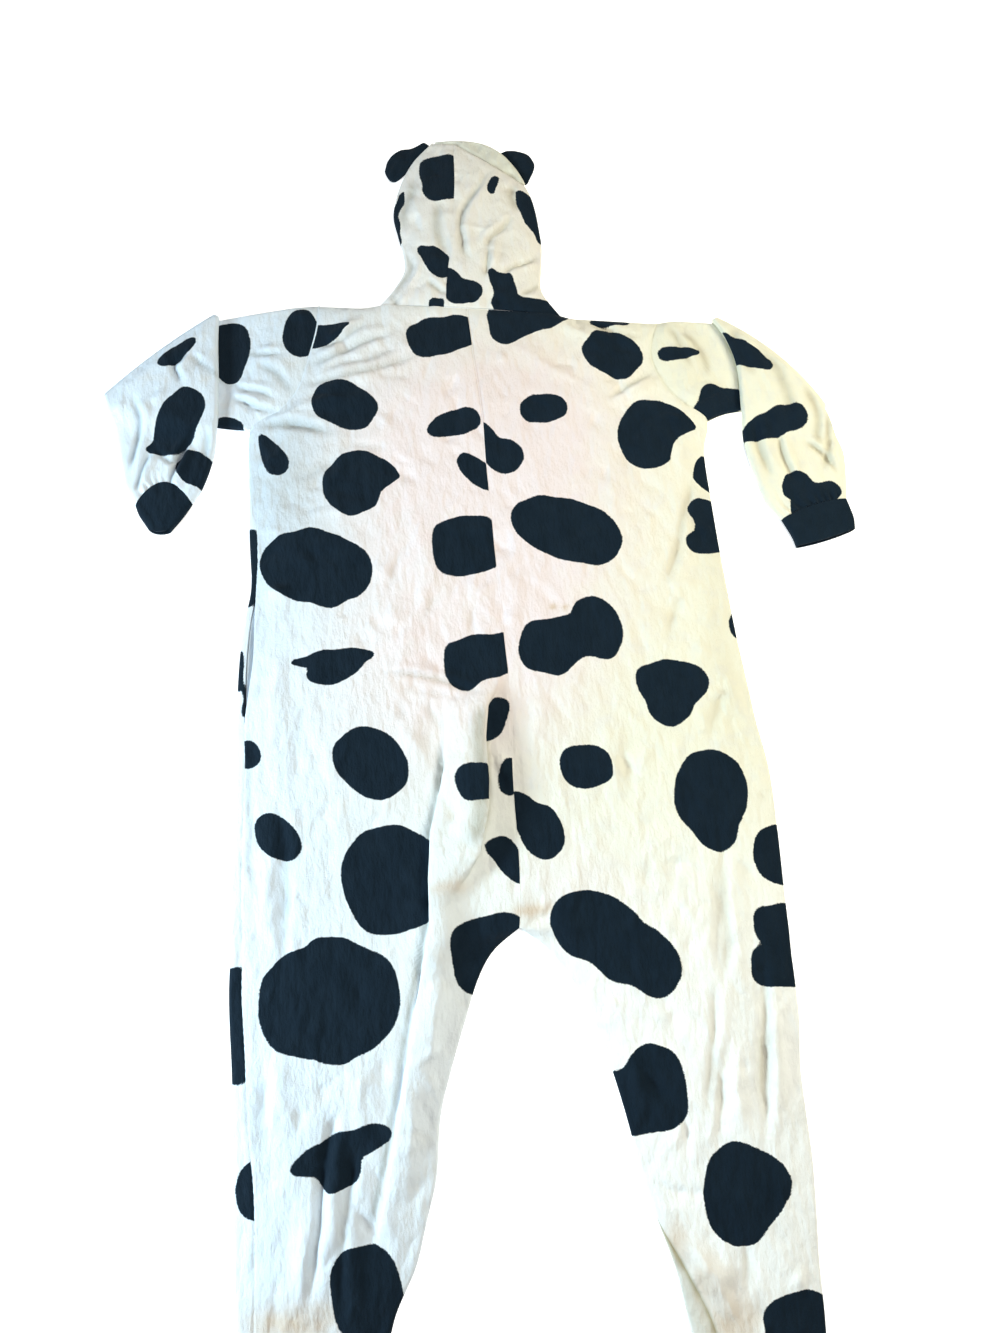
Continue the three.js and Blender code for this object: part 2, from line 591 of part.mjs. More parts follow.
function sleeve(side) {
  const left = side === 'left';
  const upper = left ? LEFT_UPPER : RIGHT_UPPER;
  const lower = left ? LEFT_FOREARM : RIGHT_FOREARM;
  const sign = left ? 1 : -1;
  const armhole = ARMHOLE_ROWS.map((t) => bodyRow(side, t));
  const places = acrossSleeve(side);
  const loop = ring(places);
  const fold = upper[upper.length - 1];
  const foldOut = outward(fold, sign);
  const turnRadius = SLEEVE_HEIGHT / 2 + FOLD_CLEARANCE / 2;
  const level = SLEEVE_HEIGHT + FOLD_CLEARANCE;
  const under = upper[1];
  // Height at which the forearm lies: on the upper arm, and down to the surface beyond it
  const laid = (x, y) => {
    const ex = fold.bX - under.bX;
    const ey = fold.bY - under.bY;
    const beyond = sign * ((x - under.bX) * ey - (y - under.bY) * ex) / Math.hypot(ex, ey);
    return level * (1 - smooth((-beyond - 3) / FOREARM_DROP));
  };
  const frames = [];
  for (const t of [0.7, 1.5, 2.3, 3]) {
    const s = read(upper, t);
    const out = outward(s, sign);
    frames.push({ a: [s.aX, s.aY], b: [s.bX, s.bY], half: s.height / 2, bow: s.bow, out,
      normal: [0, 0, 1], middle: () => s.height / 2 });
  }
  for (const psi of [40, 75, 105, 140].map(THREE.MathUtils.degToRad)) {
    const shift = turnRadius * Math.sin(psi);
    frames.push({
      a: [fold.aX + foldOut[0] * shift, fold.aY + foldOut[1] * shift],
      b: [fold.bX + foldOut[0] * shift, fold.bY + foldOut[1] * shift],
      half: SLEEVE_HEIGHT / 2, bow: fold.bow, out: foldOut,
      normal: [-foldOut[0] * Math.sin(psi), -foldOut[1] * Math.sin(psi), Math.cos(psi)],
      middle: () => level - FOLD_CLEARANCE / 2 - turnRadius * Math.cos(psi),
    });
  }
  const end = lower.length - 1;
  for (const t of [0, 0.5, 1, 2, 3, 4, 5, end - 0.5, end]) {
    const s = read(lower, t);
    frames.push({ a: [s.aX, s.aY], b: [s.bX, s.bY], half: s.height / 2, bow: s.bow,
      out: outward(s, sign), normal: [0, 0, -1], middle: (x, y) => laid(x, y) + s.height / 2 });
  }
  const grid = (inset) => {
    const first = loop.map((item) => {
      const k = item.turn === null ? places.indexOf(item.c) : (item.c > 0.5 ? places.length - 1 : 0);
      const row = armhole[k];
      const top = rowPoint(row, 'outer', GAP / 2, 0)[2];
      const width = widthOf(row);
      const dir = [(row.outer[0] - row.inner[0]) / width, (row.outer[1] - row.inner[1]) / width];
      const next = armhole[Math.min(k + 1, places.length - 1)].outer;
      const prior = armhole[Math.max(k - 1, 0)].outer;
      const run = Math.hypot(next[0] - prior[0], next[1] - prior[1]);
      const isA = k === 0;
      const isB = k === places.length - 1;
      const slide = (isA ? inset : 0) - (isB ? inset : 0);
      const x = row.outer[0] + dir[0] * GAP / 2 + slide * (next[0] - prior[0]) / run;
      const y = row.outer[1] + dir[1] * GAP / 2 + slide * (next[1] - prior[1]) / run;
      const share = item.turn === null ? (item.level + 1) / 2 : (Math.sin(item.turn) + 1) / 2;
      return [x, y, mix(inset, top - inset, share)];
    });
    return [first, ...frames.map((frame) => loop.map((item) => ringPoint(frame, item, inset)))];
  };
  return wall(`sleeve_${side}`, WHITE, grid(0), grid(CLOTH), true);
}

const ANKLE_PLACES = [0, 0.2, 0.4, 0.6, 0.8, 1];

function cuff(name, rows, sign, lies, places) {
  const loop = ring(places);
  const grid = (inset) => [0, 1, 2, 3].map((t) => {
    const s = read(rows, t);
    const frame = { a: [s.aX, s.aY], b: [s.bX, s.bY], half: s.height / 2, bow: s.bow,
      out: outward(s, sign), normal: [0, 0, lies], middle: () => s.height / 2 };
    return loop.map((item) => ringPoint(frame, item, inset));
  });
  return wall(name, BLACK, grid(0), grid(CLOTH), true);
}

const HOOD_ROWS = [0, 0.5, 1, 2, 3, 4, 5, 6, 7, 8, 8.5, 9];

function hoodPoint(s, side, q, inset) {
  const outer = side === 'left' ? [s.leftX, s.leftY] : [s.rightX, s.rightY];
  const inner = [s.seamX, s.seamY];
  const width = Math.hypot(inner[0] - outer[0], inner[1] - outer[1]);
  const dir = [(inner[0] - outer[0]) / width, (inner[1] - outer[1]) / width];
  const quarter = HOOD_ROLL * Math.PI / 2;
  const far = Math.abs(q);
  const turning = far < quarter;
  const angle = turning ? far / HOOD_ROLL : Math.PI / 2;
  const along = turning ? HOOD_ROLL - (HOOD_ROLL - inset) * Math.cos(angle) : far - quarter + HOOD_ROLL;
  const share = along / width;
  const bow = side === 'right' ? s.bow * 4 * share * (1 - share) : 0;
  const x = outer[0] + dir[0] * along - dir[1] * bow;
  const y = outer[1] + dir[1] * along + dir[0] * bow * (side === 'right' ? -1 : 1);
  if (turning) {
    const bulge = (HOOD_ROLL - inset) * Math.sin(angle);
    return [x, y, HOOD_ROLL + (q > 0 ? bulge : -bulge)];
  }
  if (q < 0) return [x, y, inset];
  return [x, y, 2 * HOOD_ROLL + s.rise * (1 - Math.exp(-(along - HOOD_ROLL) / HOOD_RISE_LENGTH)) - inset];
}

function hoodPanel(side) {
  const quarter = HOOD_ROLL * Math.PI / 2;
  const turn = [0, 0.08, 0.16, 0.24, 0.32, 0.55, 0.78, 1];
  const grid = (inset) => HOOD_ROWS.map((t) => {
    const s = read(HOOD, t);
    const outer = side === 'left' ? [s.leftX, s.leftY] : [s.rightX, s.rightY];
    const width = Math.hypot(s.seamX - outer[0], s.seamY - outer[1]);
    const full = width - HOOD_ROLL + quarter - GAP / 2;
    const turned = quarter + 2;
    return [
      ...[1, 0.8, 0.6, 0.4, 0.2].map((f) => hoodPoint(s, side, mix(turned, full, f), inset)),
      ...turn.map((f) => hoodPoint(s, side, mix(turned, -s.under, f), inset)),
    ];
  });
  return wall(`hood_${side}`, WHITE, grid(0), grid(CLOTH));
}

// Where the two halves end at the crown: points in the plan from left to right
function crownSeam() {
  const end = HOOD[HOOD.length - 1];
  const quarter = HOOD_ROLL * Math.PI / 2;
  const line = (side) => [0, 0.1, 0.25, 0.5, 0.75, 1].map((f) => {
    const x = side === 'left' ? end.leftX : end.rightX;
    const y = side === 'left' ? end.leftY : end.rightY;
    const width = Math.hypot(end.seamX - x, end.seamY - y);
    return hoodPoint(end, side, mix(quarter, width - HOOD_ROLL + quarter, f), 0);
  });
  return [...line('left'), ...line('right').reverse()];
}

// Distance from a point along a direction to the crown seam
function toCrownSeam(x, y, dirX, dirY) {
  const seam = crownSeam();
  let nearest = 0;
  for (let k = 1; k < seam.length; k += 1) {
    const [ax, ay] = seam[k - 1];
    const ex = seam[k][0] - ax;
    const ey = seam[k][1] - ay;
    const cross = dirX * ey - dirY * ex;
    const along = ((ax - x) * ey - (ay - y) * ex) / cross;
    const share = ((ax - x) * dirY - (ay - y) * dirX) / cross;
    if (share >= 0 && share <= 1 && along > 0) nearest = along;
  }
  return nearest;
}

function hoodRim() {
  const quarter = HOOD_ROLL * Math.PI / 2;
  const point = (s, q, inset) => {
    const length = Math.hypot(s.inX, s.inY);
    const far = Math.abs(q);
    const turning = far < quarter;
    const angle = turning ? far / HOOD_ROLL : Math.PI / 2;
    const along = turning ? HOOD_ROLL - (HOOD_ROLL - inset) * Math.cos(angle) : far - quarter + HOOD_ROLL;
    const x = s.x + s.inX / length * along;
    const y = s.y + s.inY / length * along;
    if (turning) {
      const bulge = (HOOD_ROLL - inset) * Math.sin(angle);
      return [x, y, HOOD_ROLL + (q > 0 ? bulge : -bulge)];
    }
    return [x, y, q < 0 ? inset : 2 * HOOD_ROLL + 0.12 * (along - HOOD_ROLL) - inset];
  };
  const grid = (inset) => [0, 0.5, 1, 1.45, 2, 3, 4, 5, 6, 7, 8].map((t) => {
    const s = read(RIM, t);
    const length = Math.hypot(s.inX, s.inY);
    const width = toCrownSeam(s.x, s.y, s.inX / length, s.inY / length) - RIM_GAP;
    const top = seamAt(Math.max(width, 1.5), HOOD_ROLL);
    const low = -seamAt(s.under, HOOD_ROLL);
    return [0, 0.2, 0.36, 0.5, 0.64, 0.8, 1].map((f) => point(s, mix(top, low, f), inset));
  });
  return wall('hood_rim', WHITE, grid(0), grid(CLOTH));
}

function ear(name, rows) {
  const across = [0, 0.08, 0.25, 0.5, 0.75, 0.92, 1];
  const grid = (share) => [0, 1, 2, 3, 4, 5].map((t) => across.map((c) => {
    const s = rows[t];
    const out = outward(s, -1);
    const bow = s.bow * 4 * c * (1 - c);
    const pad = Math.sin(Math.PI * c) ** 0.5 * (t === 5 ? 0.4 : 1);
    const height = EAR_RIM + (EAR_THICKNESS - EAR_RIM) * pad;
    return [mix(s.aX, s.bX, c) + out[0] * bow, mix(s.aY, s.bY, c) + out[1] * bow, share * height];
  }));
  return wall(name, BLACK, grid(1), grid(0));
}

// Assembly, centred over the origin in the plan
const garment = new THREE.Group();
garment.add(
  backPanel('left'),
  backPanel('right'),
  frontPanel('left'),
  frontPanel('right'),
  pocket(),
  sleeve('left'),
  sleeve('right'),
  cuff('wrist_cuff_left', LEFT_CUFF, 1, -1, acrossSleeve('left')),
  cuff('wrist_cuff_right', RIGHT_CUFF, -1, -1, acrossSleeve('right')),
  cuff('ankle_cuff_left', LEFT_ANKLE, 1, 1, ANKLE_PLACES),
  cuff('ankle_cuff_right', RIGHT_ANKLE, 1, 1, ANKLE_PLACES),
  hoodPanel('left'),
  hoodPanel('right'),
  hoodRim(),
  ear('ear_left', LEFT_EAR),
  ear('ear_right', RIGHT_EAR),
  ...BUTTON_ROWS.map((t, index) => button(index, t)),
);
const middle = new THREE.Box3().setFromObject(garment).getCenter(new THREE.Vector3());
garment.position.set(-middle.x, -middle.y, 0);

export default garment;
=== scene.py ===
"""Cow onesie of printed fleece, laid flat with its back up and both sleeves folded over.

The tables give the garment's cut in millimetres, in the frame of its pattern: the crotch is at
0, 0, the hood points to +Y and z is the height above the surface. Meshes are in metres.
"""
from math import cos, hypot, pi, radians, sin
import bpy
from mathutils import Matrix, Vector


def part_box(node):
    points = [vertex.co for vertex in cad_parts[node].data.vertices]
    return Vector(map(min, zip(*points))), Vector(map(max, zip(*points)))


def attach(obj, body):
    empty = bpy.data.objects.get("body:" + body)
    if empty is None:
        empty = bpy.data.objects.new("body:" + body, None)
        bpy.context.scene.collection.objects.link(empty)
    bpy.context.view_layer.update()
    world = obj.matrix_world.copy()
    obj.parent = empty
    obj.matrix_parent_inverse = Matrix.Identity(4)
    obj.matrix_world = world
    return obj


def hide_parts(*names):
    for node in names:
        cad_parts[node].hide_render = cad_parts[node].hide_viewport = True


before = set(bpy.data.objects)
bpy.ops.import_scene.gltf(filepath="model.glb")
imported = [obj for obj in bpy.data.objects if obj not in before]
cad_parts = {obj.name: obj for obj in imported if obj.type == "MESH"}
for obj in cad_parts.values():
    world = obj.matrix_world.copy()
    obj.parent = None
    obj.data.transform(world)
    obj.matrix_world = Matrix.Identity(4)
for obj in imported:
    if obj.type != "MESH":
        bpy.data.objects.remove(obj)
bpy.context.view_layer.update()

from types import SimpleNamespace

import bpy
import numpy as np

# Camera, soft light and floor. The camera looks down at the floor from above the feet, turned
# as in the photograph. Cool light comes from the left and warm light from the right.
CAMERA_PLACE = (-0.0187, -0.3462, 1.270)
CAMERA_TURN = (radians(16.7), 0.0, radians(-4.69))
CAMERA_LENS = 26.0
FLOOR_HALF = 6.0
FLOOR_DROP = 0.0006

camera = bpy.data.objects.new("camera", bpy.data.cameras.new("camera"))
camera.data.lens = CAMERA_LENS
camera.data.sensor_width = 36.0
camera.location = CAMERA_PLACE
camera.rotation_euler = CAMERA_TURN
bpy.context.scene.collection.objects.link(camera)
bpy.context.scene.camera = camera
bpy.context.scene.view_settings.view_transform = "Standard"


def area_light(name, place, aim, size, colour, power):
    """Square lamp at a place, facing another."""
    lamp = bpy.data.objects.new(name, bpy.data.lights.new(name, "AREA"))
    lamp.data.size = size
    lamp.data.color = colour
    lamp.data.energy = power
    lamp.location = place
    direction = np.array(aim) - np.array(place)
    tilt = np.arctan2(hypot(direction[0], direction[1]), -direction[2])
    lamp.rotation_euler = (tilt, 0.0, np.arctan2(direction[1], direction[0]) - pi / 2)
    bpy.context.scene.collection.objects.link(lamp)


area_light("window_left", (-1.7, -0.45, 0.62), (0, -0.1, 0), 0.35, (0.70, 0.90, 1.0), 46)
area_light("lamp_right", (1.4, 0.35, 1.35), (0, 0, 0), 0.8, (1.0, 0.97, 0.78), 28)
area_light("ceiling", (0.25, 0.15, 3.0), (0, 0, 0), 1.6, (0.97, 0.95, 0.98), 31)

world = bpy.data.worlds.new("world")
world.use_nodes = True
world.node_tree.nodes["Background"].inputs["Color"].default_value = (0.82, 0.92, 1.0, 1.0)
world.node_tree.nodes["Background"].inputs["Strength"].default_value = 0.08
bpy.context.scene.world = world


class Socket:
    """Output of a shader node. An operator on it adds a Math node and gives that one's output."""

    def __init__(self, tree, link):
        self.tree = tree
        self.link = link

    def maths(self, operation, *values):
        return add_node(self.tree, "Math", {"operation": operation}, dict(enumerate(values)))

    def __add__(self, other):
        return self.maths("ADD", self, other)

    def __radd__(self, other):
        return self.maths("ADD", other, self)

    def __sub__(self, other):
        return self.maths("SUBTRACT", self, other)

    def __rsub__(self, other):
        return self.maths("SUBTRACT", other, self)

    def __mul__(self, other):
        return self.maths("MULTIPLY", self, other)

    def __rmul__(self, other):
        return self.maths("MULTIPLY", other, self)


def add_node(tree, kind, settings=None, values=None, output=0):
    """New shader node: its settings first, then the values or links of its sockets."""
    node = tree.nodes.new("ShaderNode" + kind)
    for key, value in (settings or {}).items():
        setattr(node, key, value)
    for key, value in (values or {}).items():
        if isinstance(value, Socket):
            tree.links.new(value.link, node.inputs[key])
        else:
            node.inputs[key].default_value = value
    return Socket(tree, node.outputs[output])


def new_material(name):
    """Empty material, its node tree and the coordinates of the object that it is on."""
    material = bpy.data.materials.new(name)
    material.use_nodes = True
    material.node_tree.nodes.clear()
    where = add_node(material.node_tree, "TexCoord", output=3)
    return material, material.node_tree, where


def finish_surface(tree, shader):
    """Join the shader to the material's output."""
    output = tree.nodes.new("ShaderNodeOutputMaterial")
    tree.links.new(shader.link, output.inputs["Surface"])


def blend_colour(tree, share, first, second):
    """Colour between two, by a share from 0 to 1."""
    return add_node(tree, "Mix", {"data_type": "RGBA"}, {0: share, 6: first, 7: second}, output=2)


def noise(tree, where, scale, detail=2.0):
    """Fractal noise between 0 and 1."""
    return add_node(tree, "TexNoise", None, {"Vector": where, "Scale": scale, "Detail": detail})


def paper_floor():
    """White backdrop that glows a little, so that it stays white in the garment's shadow."""
    material, tree, where = new_material("floor_paper")
    tone = noise(tree, where, 1.5) * 0.01 + 0.97
    colour = add_node(tree, "CombineColor", None, {0: tone, 1: tone, 2: tone})
    shader = add_node(tree, "BsdfPrincipled", None, {
        "Base Color": colour, "Roughness": 0.9, "Emission Color": (1, 1, 1, 1), "Emission Strength": 0.62})
    finish_surface(tree, shader)
    return material


def make_mesh(name, points, faces, material, smooth=True):
    """Object at the origin from points in metres and faces."""
    mesh = bpy.data.meshes.new(name)
    mesh.from_pydata(points.tolist(), [], faces.tolist())
    mesh.materials.append(material)
    if smooth:
        mesh.polygons.foreach_set("use_smooth", np.ones(len(faces), bool))
        mesh.set_sharp_from_angle(angle=radians(55))
    mesh.update()
    piece = bpy.data.objects.new(name, mesh)
    bpy.context.scene.collection.objects.link(piece)
    return piece


corners = FLOOR_HALF * np.array([[-1, -1, 0], [1, -1, 0], [1, 1, 0], [-1, 1, 0]], float)
corners[:, 2] = -FLOOR_DROP
floor = make_mesh("floor", corners, np.array([[0, 1, 2, 3]]), paper_floor(), smooth=False)

# Fleece. Brushed polyester knit, 2.2 mm thick, white with black patches printed on it. The
# print has soft furry edges, and the nap is felted into pills. Wear has left tan stains and a
# pinkish cream over the middle. Painted light tints the white, cool on the left, warm on the
# upper right and brighter on the right leg, and painted shade greys it in the folds.
CLOTH = 2.2
# Painted light: a cool, darker cast on the left, a warm cast on the upper right and a brighter white on the
# right leg
WHITE_PAINTED_COOL_LIGHT = (0.72, 0.81, 0.90, 1)
WHITE_PAINTED_WARM_LIGHT = (0.845, 0.83, 0.68, 1)
WHITE_PAINTED_BRIGHT_LEG = (0.95, 0.96, 0.93, 1)
WHITE_SHADE = (0.74, 0.755, 0.735, 1)
BLACK = (0.003, 0.010, 0.019, 1)
BLACK_WORN = (0.008, 0.018, 0.030, 1)
STAIN = (0.62, 0.45, 0.28, 1)
BLUSH = (0.86, 0.76, 0.755, 1)
# Painted shade in the folds: cool grey on the left and warm grey on the right
SHADE_PAINTED_COOL = (0.30, 0.35, 0.36, 1)
SHADE_PAINTED_WARM = (0.44, 0.39, 0.26, 1)


def mark(tree, name):
    """Value of one of the piece's own attributes."""
    return add_node(tree, "Attribute", {"attribute_name": name}, output=2)


def soft_step(tree, value, low, high):
    """0 below low and 1 above high, with a smooth rise between them."""
    return add_node(tree, "MapRange", {"interpolation_type": "SMOOTHSTEP"}, {0: value, 1: low, 2: high})


def white_fleece(tree, where, mottle):
    """White with a painted cast of light: cool on the left, warm on the upper right and brighter on
    the right leg. It is then aged and stained, and darkened with painted shade, as the piece's attributes
    say."""
    rightward = soft_step(tree, add_node(tree, "SeparateXYZ", None, {0: where}), -0.36, 0.2)
    upward = soft_step(tree, add_node(tree, "SeparateXYZ", None, {0: where}, output=1), -0.5, -0.05)
    patchy = add_node(tree, "MapRange", None, {0: mottle, 1: 0.5, 2: 1.1})
    # Painted light: the white's cast shifts from cool on the left to warm on the upper right, and is brighter
    # on the right leg
    right = blend_colour(tree, upward, WHITE_PAINTED_BRIGHT_LEG, WHITE_PAINTED_WARM_LIGHT)
    white_under_painted_light = blend_colour(tree, rightward, WHITE_PAINTED_COOL_LIGHT, right)
    white = blend_colour(tree, patchy, white_under_painted_light, WHITE_SHADE)
    aged = blend_colour(tree, mark(tree, "blush") * (mottle * 0.7 + 0.8), white, BLUSH)
    soiled = blend_colour(tree, mark(tree, "stain") * (mottle + 0.45), aged, STAIN)
    # Painted shade: where the piece's attribute says, the white is darkened to grey, cool on the left and
    # warm on the right
    painted_shade_colour = blend_colour(tree, rightward, SHADE_PAINTED_COOL, SHADE_PAINTED_WARM)
    return blend_colour(tree, mark(tree, "grime") * (mottle * 0.5 + 0.45), soiled, painted_shade_colour)


def fleece(name, printed=True):
    """Fleece that is black, or white where the print's depth in millimetres is negative."""
    material, tree, where = new_material(name)
    mottle = noise(tree, where, 42.0, 4.0)
    colour = blend_colour(tree, mottle, BLACK, BLACK_WORN)
    if printed:
        ragged = (noise(tree, where, 620.0) - 0.5) * 2.6 + (noise(tree, where, 150.0) - 0.5) * 1.6
        inked = soft_step(tree, mark(tree, "print") + ragged, -0.6, 0.6)
        colour = blend_colour(tree, inked, white_fleece(tree, where, mottle), colour)
    nap = noise(tree, where, 900.0, 3.0)
    pills = add_node(tree, "TexVoronoi", {"feature": "SMOOTH_F1"}, {"Vector": where, "Scale": 260.0})
    lines = add_node(tree, "Mapping", None, {"Vector": where, "Scale": (1.0, 0.42, 1.0)})
    soft = noise(tree, lines, 95.0, 4.0) + noise(tree, lines, 30.0) * 1.6
    crumple = (noise(tree, lines, 60.0, 3.0) - 0.5).maths("ABSOLUTE").maths("MINIMUM", 0.16)
    folded = (noise(tree, where, 27.0) - 0.5).maths("ABSOLUTE").maths("MINIMUM", 0.12)
    height = nap * 0.35 + (1.0 - pills) * 0.2 + soft * 2.4 + crumple * 16.0 + folded * 9.0
    bump = add_node(tree, "Bump", None, {"Strength": 0.9, "Distance": 0.0016, "Height": height})
    finish_surface(tree, add_node(tree, "BsdfPrincipled", None, {
        "Base Color": colour, "Roughness": 0.95, "Normal": bump, "Sheen Weight": 0.03,
        "Sheen Roughness": 0.6, "Specular IOR Level": 0.1}))
    return material


print_fleece = fleece("print_fleece")
black_fleece = fleece("black_fleece", printed=False)

# Back panels. Two long panels of fleece, each half of the back with its leg, sewn along the
# centre back. They are cut at the armholes and shoulders, and turn over at the side edges.
SIDE_ROLL = 4.5
RISE_LENGTH = 40
SHOULDER_HEIGHT = 4.8
SHOULDER_SLOPE = 9
NECK_HALF = 138
UNDERARM = 5
EDGE_FADE = 30
SEAM_DIP = 0.6
SEAM_WIDTH = 1.7

# Stations from the shoulders to the crotch: left edge, centre back and right edge, height of
# the outer edge, extra height inside, front cloth seen over the left edge, pocket mouth
BODY = np.array([
    [-228, 950, 0, 920, 289, 876, 13, 3, 0, 0],
    [-231, 908, 2, 880, 274, 835, 13, 4, 0, 0],
    [-244, 857, 4, 838, 272, 804, 13, 5, 0, 0],
    [-261, 804, 7, 795, 285, 765, 13, 5, 0, 0],
    [-288, 770, 9, 760, 307, 734, 12, 6, 0, 0],
    [-333, 740, 10, 725, 341, 701, 10, 7, 0, 0],
    [-337, 662, 9, 655, 330, 650, 9, 8, 0, 0],
    [-337, 569, 10, 570, 329, 575, 9, 8, 12, 0],
    [-335, 492, 11, 484, 330, 487, 9, 8, 8, 0],
    [-345, 440, 13, 430, 332, 425, 9, 8, 9, 6],
    [-352, 384, 13, 380, 334, 367, 9, 9, 10, 10],
    [-357, 290, 15, 300, 339, 290, 9, 10, 12, 0],
    [-356, 245, 11, 240, 342, 243, 9, 10, 12, 0],
    [-360, 172, 8, 172, 349, 175, 9, 10, 13, 0],
    [-364, 80, 7, 80, 347, 95, 9, 9, 14, 0],
    [-365, 10, 3, 22, 343, 20, 9, 8, 16, 0],
    [-366, -20, 0, 0, 341, -30, 9, 8, 17, 0],
], float)

# Stations from the crotch to the ankles: both edges of the left leg, both of the right one,
# extra height, front cloth over the left outer edge and over the right leg's inner edge
LEG = np.array([
    [-366, -20, 0, 0, 0, 0, 341, -30, 8, 17, 0],
    [-367, -50, -34, -24, 30, -24, 339, -60, 8, 17, 0],
    [-366, -90, -56, -56, 52, -55, 338, -95, 8, 18, 0],
    [-364, -130, -76, -105, 74, -95, 336, -135, 8, 18, 0],
    [-363, -170, -97, -160, 92, -150, 328, -190, 8, 18, 0],
    [-362, -220, -113, -210, 108, -220, 326, -240, 7, 20, 0],
    [-362, -270, -122, -275, 120, -290, 325, -290, 7, 25, 0],
    [-361, -320, -136, -320, 132, -340, 320, -345, 7, 25, 1],
    [-360, -372, -152, -368, 147, -395, 314, -399, 7, 23, 12],
    [-358, -418, -180, -420, 155, -455, 310, -460, 7, 20, 28],
    [-352, -500, -200, -500, 163, -515, 303, -515, 6, 14, 20],
    [-346, -560, -212, -560, 172, -565, 298, -565, 5, 8, 6],
], float)

# Main creases of the back. Each is a line between two places with the bow of its middle to the
# right, its half width, and its height as a ridge, or its depth as a trough where negative.
CREASES = np.array([
    [-84, 60, -98, -60, 4, 15, 7],
    [-98, -20, -136, -170, -6, 14, 8],
    [-130, -130, -172, -310, -4, 14, 7],
    [-132, 120, -134, -20, 0, 16, 4],
    [-120, 300, -118, 190, 6, 16, 6],
    [-250, -270, -290, -430, 8, 14, 6],
    [-214, -250, -238, -410, 8, 14, 6],
    [-165, 352, -22, 306, 12, 6, -4],
    [-170, 362, -30, 322, 12, 13, 4],
    [-25, 440, -28, 388, 0, 5, -3],
    [-226, 868, -150, 912, -6, 8, 5],
    [-262, 838, -110, 884, 10, 9, 5],
    [-268, 806, -60, 848, -14, 8, -4],
    [-262, 790, -90, 822, -10, 12, 6],
    [-172, 827, -70, 806, 4, 6, -3],
    [-300, 762, -150, 770, -8, 9, 5],
    [-322, 742, -200, 722, -8, 8, -4],
    [-130, 900, -60, 830, 6, 12, 4],
    [120, 896, 214, 812, -8, 9, 5],
    [150, 890, 262, 800, -14, 7, -5],
    [176, 884, 268, 838, -6, 9, 5],
    [60, 868, 160, 776, 10, 14, 4],
    [272, 786, 190, 742, -6, 9, 5],
    [300, 742, 232, 700, -6, 7, -3],
    [312, 610, 240, 436, -12, 8, -4],
    [296, 600, 226, 450, -12, 13, 5],
    [276, 440, 232, 352, 6, 7, -4],
    [320, 303, 274, 208, 8, 8, -4],
    [166, 266, 150, 132, -3, 6, -3],
    [150, 250, 132, 150, -3, 10, 3],
    [172, 82, 166, 30, 0, 6, -3],
    [266, 76, 242, -94, 5, 7, -3.5],
    [252, 60, 226, -96, 5, 12, 3],
    [239, -148, 221, -268, 4, 7, -7],
    [258, -140, 240, -280, 4, 13, 6],
    [299, -102, 272, -272, 6, 7, -7],
    [314, -110, 296, -260, 4, 11, 5],
    [232, -364, 224, -422, 0, 6, -4],
    [150, -350, 206, -452, -6, 11, 7],
    [140, -380, 176, -450, -4, 6, -4],
    [-291, 178, -296, -24, 4, 7, -3],
    [-306, 190, -312, -10, 4, 11, 2.5],
    [-341, 360, -332, -15, 0, 6, -4],
    [-262, 340, -270, 210, 4, 8, -3],
    [-300, 420, -306, 240, -4, 13, 4],
    [60, 700, 84, 560, -6, 18, 3],
    [-90, 600, -70, 430, 8, 18, 4],
    [-140, 470, -120, 330, -6, 12, 4],
    [30, 520, 40, 400, 4, 12, 3],
    [-214, 650, -190, 560, 5, 12, 3],
    [200, 640, 180, 520, 5, 14, 3],
    [60, 330, 52, 210, 6, 12, 4],
    [84, 60, 60, -40, 8, 12, 4],
    [-190, -130, -214, -230, 5, 12, 4],
    [-320, -120, -322, -260, 5, 10, -4],
    [-300, -100, -304, -240, 5, 12, 4],
    [110, -110, 128, -250, -5, 12, 4],
    [-300, -440, -286, -545, 5, 10, -5],
    [-250, -450, -262, -550, 5, 12, 4],
    [220, -470, 226, -555, 5, 10, -5],
    [262, -450, 254, -545, -5, 12, 4],
    [-74, 246, -92, 168, 3, 4, -5],
    [-93, 175, -106, 92, 4, 4, -5],
    [-107, 100, -113, 0, 3, 4, -5],
    [-113, 10, -142, -110, 4, 4, -5],
    [-141, -100, -172, -244, 4, 4, -4],
    [-20, 240, -2, 160, -5, 4, -5],
    [-18, 250, 2, 176, -5, 7, 4],
    [-200, 706, -120, 690, 5, 6, -3],
    [-290, 640, -180, 700, 6, 7, -3],
    [-270, 580, -150, 600, -6, 8, 3],
    [-100, 560, -150, 440, 5, 6, -3],
    [-60, 480, -96, 400, 5, 6, -3],
    [-140, 330, -104, 240, 5, 6, -4],
    [-104, 320, -70, 250, 5, 6, -4],
    [-128, 300, -112, 210, -4, 8, 4],
], float)

